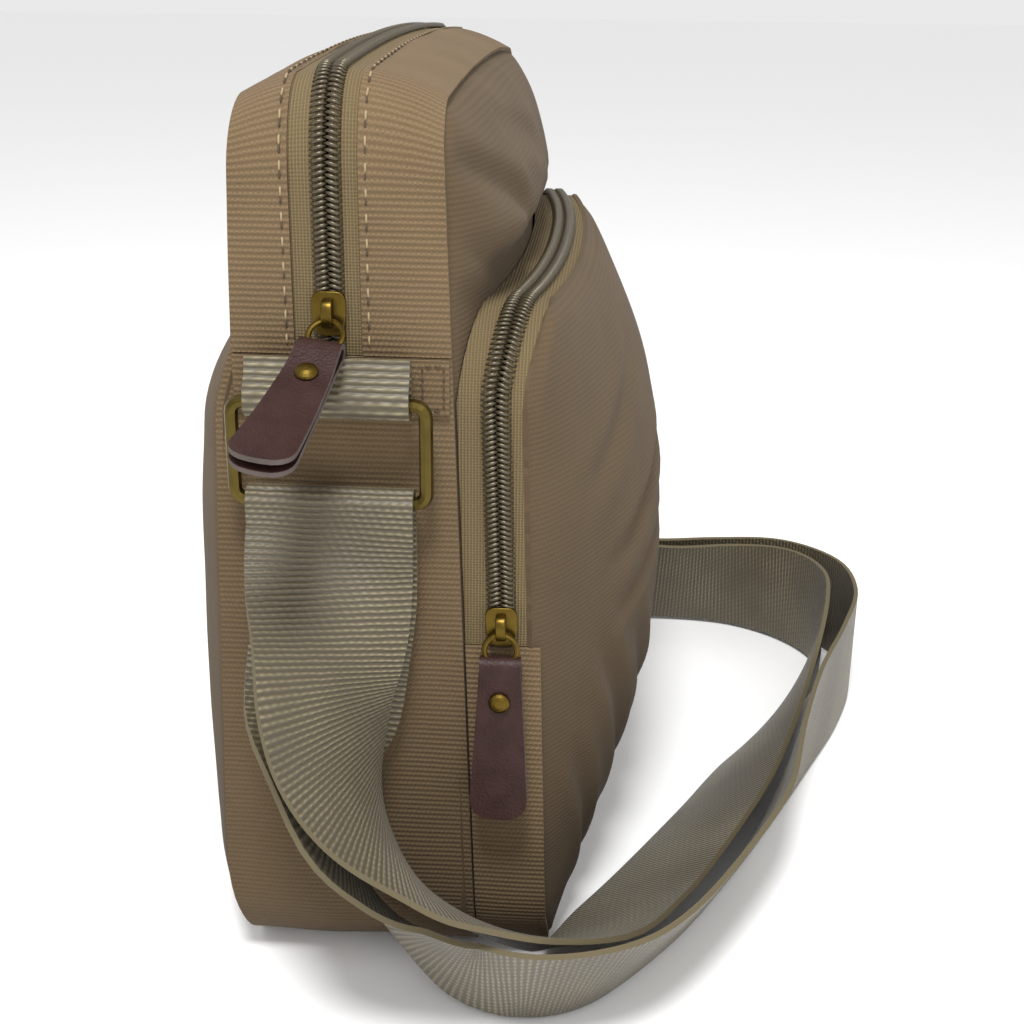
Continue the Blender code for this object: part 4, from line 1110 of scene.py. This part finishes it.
def build_tab(word, side):
    """A webbing loop from the bag's side round a ring's top bar and back."""
    top = TAB_TOP + TAB_RISE
    inner = RING_BAR_X - WEB_TURN_RADIUS
    path = [(inner, top), (inner, (top + RING_TOP_BAR) / 2), (inner, RING_TOP_BAR + 0.001)]
    path += arc(RING_BAR_X, RING_TOP_BAR, WEB_TURN_RADIUS, 180, 360, 14)
    path += [
        (RING_BAR_X + WEB_TURN_RADIUS - 0.0003, RING_TOP_BAR + 0.003),
        (inner + WEB_THICK + 0.0012, top - 0.0032), (inner + WEB_THICK + 0.0003, top + 0.0004),
    ]
    places = spread(WEB / 2 - TAB_SIDE_GAP, 12)
    rows = []
    cloth = []
    run = 0.0
    before = path[0]
    for x, z in path:
        run += math.dist(before, (x, z))
        before = (x, z)
        rows.append([(side * x, ZIP_Y + y, z) for y in places])
        cloth.append([(y, run) for y in places])
    tab = skin(
        "tab_%s_webbing" % word, rows, cloth, WEB_THICK, TAB_WEBBING, edge=WEBBING_EDGE
    )
    finish(tab, "bag", "tab_" + word)


def build_patch(word, side):
    """The canvas patch under a tab, with a box of stitches in its front corner."""
    deep = half_depth(TAB_TOP) - 0.0004
    out = HALF + PATCH_OUT
    places = spread(deep, 20)
    heights = [PATCH_LOW + (PATCH_HIGH - PATCH_LOW) * k / 4 for k in range(5)]
    patch = skin(
        "patch_%s_cloth" % word, [[(side * out, y, z) for y in places] for z in heights],
        [[(y, z) for y in places] for z in heights], PATCH_THICK, CANVAS,
        outward=lambda q: (side, 0, 0), soft=0.0003,
    )
    finish(patch, "bag", "tab_patch_" + word)
    front = PATCH_STITCH_IN - deep
    low = PATCH_LOW + PATCH_STITCH_IN
    high = PATCH_HIGH - PATCH_STITCH_IN
    back = -PATCH_STITCH_INNER
    box = [
        Vector((side * (out + 0.0001), y, z))
        for y, z in ((front, low), (front, high), (back, high), (back, low), (front, low))
    ]
    stitches = stitch_row(
        "patch_%s_stitches" % word, box, lambda q: Vector((side, 0, 0)), 0.0021, 0.0014, 0.00020,
        0.0001, THREAD_DARK,
    )
    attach(stitches, "bag")


for word, side in (("near", -1), ("far", 1)):
    build_tab(word, side)
    build_patch(word, side)


# ---- metal fittings from the CAD
def finish_metal(node, material):
    obj = frame["nodes"][node]
    obj.data.materials.clear()
    obj.data.materials.append(material)


for prefix in ("main", "pocket", "back"):
    finish_metal(prefix + "_pull_ring", BRASS)
    finish_metal(prefix + "_pull_rivet", BRASS)
for node in ("ring_near", "ring_far", "adjuster"):
    finish_metal(node, RING_BRASS)

# ---- leather pulls and sliders
LEATHER_THICK = 0.0012
LEATHER_LENGTH = 0.040
LEATHER_TOP_WIDTH = 0.0098
LEATHER_WIDENING = 0.0048
LEATHER_TIP = 0.0058
LAYER_GAP = 0.0003
PULL_RING_WIRE = 0.0007
FOLD_GAP = 0.0006
FOLD_REACH = 0.008
SPINE_PIECES = 24


def leather_half_width(distance):
    width = LEATHER_TOP_WIDTH + LEATHER_WIDENING * distance / LEATHER_LENGTH
    left = max(0.0, LEATHER_LENGTH - distance)
    if left < LEATHER_TIP:
        reach = 1.0 - left / LEATHER_TIP
        width *= 0.16 + 0.84 * math.sqrt(max(0.0, 1.0 - reach ** 2.4))
    return width / 2


def leather_rows(curl, splay):
    """Centre line of the folded pull, from the back layer's tip over the fold to the front tip."""
    layer = (LEATHER_THICK + LAYER_GAP) / 2
    fold = PULL_RING_WIRE + FOLD_GAP + LEATHER_THICK / 2

    def spine(distance):
        x = 0.0
        z = 0.0
        for piece in range(SPINE_PIECES):
            angle = curl * (piece + 0.5) / SPINE_PIECES * distance / LEATHER_LENGTH
            x -= math.sin(angle) * distance / SPINE_PIECES
            z -= math.cos(angle) * distance / SPINE_PIECES
        return Vector((x, 0, z)), curl * distance / LEATHER_LENGTH

    def at_distance(distance, side):
        point, angle = spine(distance)
        offset = fold + (layer - fold) * smooth(distance / FOLD_REACH)
        offset += splay * (max(0.0, distance / LEATHER_LENGTH - 0.45) / 0.55) ** 2
        return point + Vector((-math.cos(angle), 0, math.sin(angle))) * offset * side, distance

    steps = [0.0, 0.0003, 0.0008, 0.0015, 0.0025, 0.0035, 0.0047, 0.006, 0.009]
    steps += [0.009 + 0.0031 * k for k in range(1, 10)]
    distances = [LEATHER_LENGTH - step for step in steps]
    back = [at_distance(distance, -1) for distance in distances]
    front = [at_distance(distance, 1) for distance in distances[::-1]]
    turn = [(Vector((x, 0, z)), 0.0) for x, z in arc(0, 0, fold, 0, 180, 10)]
    return back + turn + front


def build_leather(prefix, origin, axis, hang, curl, splay):
    z_axis = -Vector(hang).normalized()
    y_axis = Vector(axis).normalized()
    x_axis = y_axis.cross(z_axis)
    matrix = Matrix((x_axis, y_axis, z_axis)).transposed().to_4x4()
    matrix.translation = Vector(origin)
    rows = []
    cloth = []
    run = 0.0
    line = leather_rows(curl, splay)
    before = line[0][0]
    for point, distance in line:
        run += (point - before).length
        before = point
        places = spread(leather_half_width(distance), 10)
        rows.append([matrix @ (point + Vector((0, y, 0))) for y in places])
        cloth.append([(y, run) for y in places])
    pull = skin(
        prefix + "_leather_pull", rows, cloth, LEATHER_THICK, LEATHER, edge=LEATHER_EDGE
    )
    finish(pull, prefix + "_leather", prefix + "_pull_leather")


build_leather("main", (-0.11397, 0.00268, 0.16942), (0.1249, 0.9848, 0.1206),
              (-0.8724, 0.1669, -0.4593), math.radians(14), 0.0008)
build_leather("pocket", (-0.10765, -0.03652, 0.09206), (0, 1, 0), (-0.0523, 0, -0.9986),
              math.radians(2), 0.0002)
build_leather("back", (0.08447, 0.03154, 0.17871), (0.9948, -0.1016, 0),
              (0.0171, 0.1678, -0.9857), math.radians(2), 0.0002)


def prism(bm, outline, low, high):
    """A flat plate with the given outline (y, z) between two places along local -X."""
    lower = [bm.verts.new((-low, y, z)) for y, z in outline]
    upper = [bm.verts.new((-high, y, z)) for y, z in outline]
    bm.faces.new(lower)
    bm.faces.new(upper[::-1])
    for k in range(len(outline)):
        after = (k + 1) % len(outline)
        bm.faces.new((lower[k], lower[after], upper[after], upper[k]))


SLIDER_HALF_WIDTH = 0.0039
SLIDER_HALF_HEIGHT = 0.0050
SLIDER_SQUARENESS = 0.45
TOP_PLATE = (0.0007, 0.0018)
BOTTOM_PLATE = (-0.0034, -0.0024)
NECK = (-0.0026, 0.0009)
BRIDGE_FOOT = 0.0016
BRIDGE_RISE = 0.0034
BRIDGE_HALF = 0.0033
BRIDGE_MIDDLE = 0.0002
BRIDGE_BAR = 0.0010
BRIDGE_HALF_WIDTH = 0.0012
MAIN_SLIDER_Z = 0.176
POCKET_SLIDER_Z = 0.101
BACK_SLIDER_X = 0.088


def rounded_power(value):
    return math.copysign(abs(value) ** SLIDER_SQUARENESS, value)


def shield_outline():
    outline = []
    for k in range(28):
        turn = 2 * math.pi * k / 28
        z = SLIDER_HALF_HEIGHT * rounded_power(math.sin(turn))
        narrowing = 1.0 - 0.16 * smooth((0.001 - z) / 0.006)
        outline.append((SLIDER_HALF_WIDTH * rounded_power(math.cos(turn)) * narrowing, z))
    return outline


def build_bridge(bm):
    """An arch over the top plate that holds the pull ring."""
    outer = []
    inner = []
    for k in range(13):
        turn = math.pi * k / 12
        rise = math.sin(turn) ** 0.6
        outer.append((BRIDGE_FOOT + BRIDGE_RISE * rise, BRIDGE_MIDDLE + BRIDGE_HALF * math.cos(turn)))
        inner.append((BRIDGE_FOOT + (BRIDGE_RISE - BRIDGE_BAR) * rise,
                      BRIDGE_MIDDLE + (BRIDGE_HALF - BRIDGE_BAR) * math.cos(turn)))
    loop = outer + inner[::-1]
    first = [bm.verts.new((-x, BRIDGE_HALF_WIDTH, z)) for x, z in loop]
    second = [bm.verts.new((-x, -BRIDGE_HALF_WIDTH, z)) for x, z in loop]
    count = len(loop)
    for k in range(count):
        after = (k + 1) % count
        bm.faces.new((first[k], first[after], second[after], second[k]))
    for k in range(count // 2 - 1):
        bm.faces.new((first[k], first[k + 1], first[count - 2 - k], first[count - 1 - k]))
        bm.faces.new((second[k + 1], second[k], second[count - 1 - k], second[count - 2 - k]))


def build_slider(prefix, matrix):
    """A coil zip's slider: two shield-shaped plates, a neck and an arched bridge."""
    shield = shield_outline()
    bm = bmesh.new()
    prism(bm, shield, *TOP_PLATE)
    prism(bm, [(y * 0.98, z * 0.98) for y, z in shield], *BOTTOM_PLATE)
    prism(bm, [(-0.0005, -0.0044), (0.0005, -0.0044), (0.0005, -0.0014), (-0.0005, -0.0014)], *NECK)
    build_bridge(bm)
    bmesh.ops.recalc_face_normals(bm, faces=bm.faces[:])
    mesh = bpy.data.meshes.new(prefix + "_slider_body")
    bm.to_mesh(mesh)
    bm.free()
    slider = make_object(prefix + "_slider_body", mesh, [BRASS])
    slider.matrix_world = matrix
    bevel = slider.modifiers.new("round", "BEVEL")
    bevel.width = 0.00028
    bevel.segments = 3
    bevel.limit_method = "ANGLE"
    bevel.angle_limit = math.radians(40)
    finish(slider, prefix + "_slider", prefix + "_slider")


def slider_places():
    main = Matrix.Translation((-HALF, ZIP_Y, MAIN_SLIDER_Z))
    x = -HALF + POCKET_IN
    y = pocket_base_y(x, POCKET_SLIDER_Z) - CHAIN_Y
    pocket = Matrix.Translation((x, y, POCKET_SLIDER_Z))
    pocket = pocket @ Matrix.Rotation(-math.atan(SLOPE), 4, "X")
    y = back_zip_y(BACK_SLIDER_X, BACK_ZIP_Z)
    slope = (back_zip_y(BACK_SLIDER_X + 0.0005, BACK_ZIP_Z) - y) / 0.0005
    back = Matrix.Translation((BACK_SLIDER_X, y, BACK_ZIP_Z))
    back = back @ Matrix.Rotation(math.atan(slope), 4, "Z")
    back = back @ Matrix.Rotation(math.atan(BACK_ZIP_LEAN), 4, "X")
    back = back @ Matrix.Rotation(-math.pi / 2, 4, "Z") @ Matrix.Rotation(-math.pi / 2, 4, "X")
    return {"main": main, "pocket": pocket, "back": back}


for prefix, matrix in slider_places().items():
    build_slider(prefix, matrix)

# ---- what stands for what
STANDS_FOR = {
    "strip_rear_cloth": ("zip_strip_rear",), "strip_front_cloth": ("zip_strip_front",),
    "tape_rear_cloth": ("zip_tape_rear",), "tape_front_cloth": ("zip_tape_front",),
    "front_cloth": ("front_panel_lower", "front_panel_upper"),
    "back_lower_cloth": ("back_panel_lower",), "back_upper_cloth": ("back_panel_upper",),
    "lining_rim_cloth": ("lining_gusset",), "pocket_rim_cloth": ("pocket_gusset",),
    "pocket_front_cloth": ("pocket_front_lower", "pocket_front_upper"),
    "coil_rear_wire": ("zip_coil_rear",),
    "coil_front_wire": ("zip_coil_front", "zip_coil_front_end"),
    "pocket_coil_outer_wire": ("pocket_coil_outer", "pocket_coil_outer_end"),
}


for piece in list(bpy.data.objects):
    node, _, kind = piece.name.rpartition("_")
    if "stitch" in piece.name:
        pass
    elif kind in ("cloth", "wire") and not node.startswith("patch"):
        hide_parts(*STANDS_FOR.get(piece.name, (node,)))

# ---- floor, light and world
FLOOR = 6
WORLD_STRENGTH = 0.82
floor_mesh = bpy.data.meshes.new("floor")
floor_mesh.from_pydata(
    [(-FLOOR, -FLOOR, 0), (FLOOR, -FLOOR, 0), (FLOOR, FLOOR, 0), (-FLOOR, FLOOR, 0)], [],
    [(0, 1, 2, 3)],
)
floor = make_object("floor", floor_mesh, [plain("floor_look", (0.97, 0.97, 0.97), 0.9)])

world = bpy.data.worlds.new("studio")
bpy.context.scene.world = world
world.use_nodes = True
world.node_tree.nodes["Background"].inputs["Color"].default_value = (1, 1, 1, 1)
world.node_tree.nodes["Background"].inputs["Strength"].default_value = WORLD_STRENGTH


def area_light(name, place_at, target, size, power):
    data = bpy.data.lights.new(name, "AREA")
    data.shape = "DISK"
    data.size = size
    data.energy = power
    light = bpy.data.objects.new(name, data)
    light.location = place_at
    light.rotation_euler = (Vector(target) - Vector(place_at)).to_track_quat("-Z", "Y").to_euler()
    bpy.context.scene.collection.objects.link(light)


area_light("key", (-0.60, -0.02, 1.15), (-0.02, 0, 0.17), 0.30, 13.0)
area_light("fill", (-1.1, -0.4, 0.6), (0, 0, 0.1), 0.8, 2.5)
bpy.context.scene.view_settings.view_transform = "Standard"
bpy.context.scene.view_settings.look = "None"
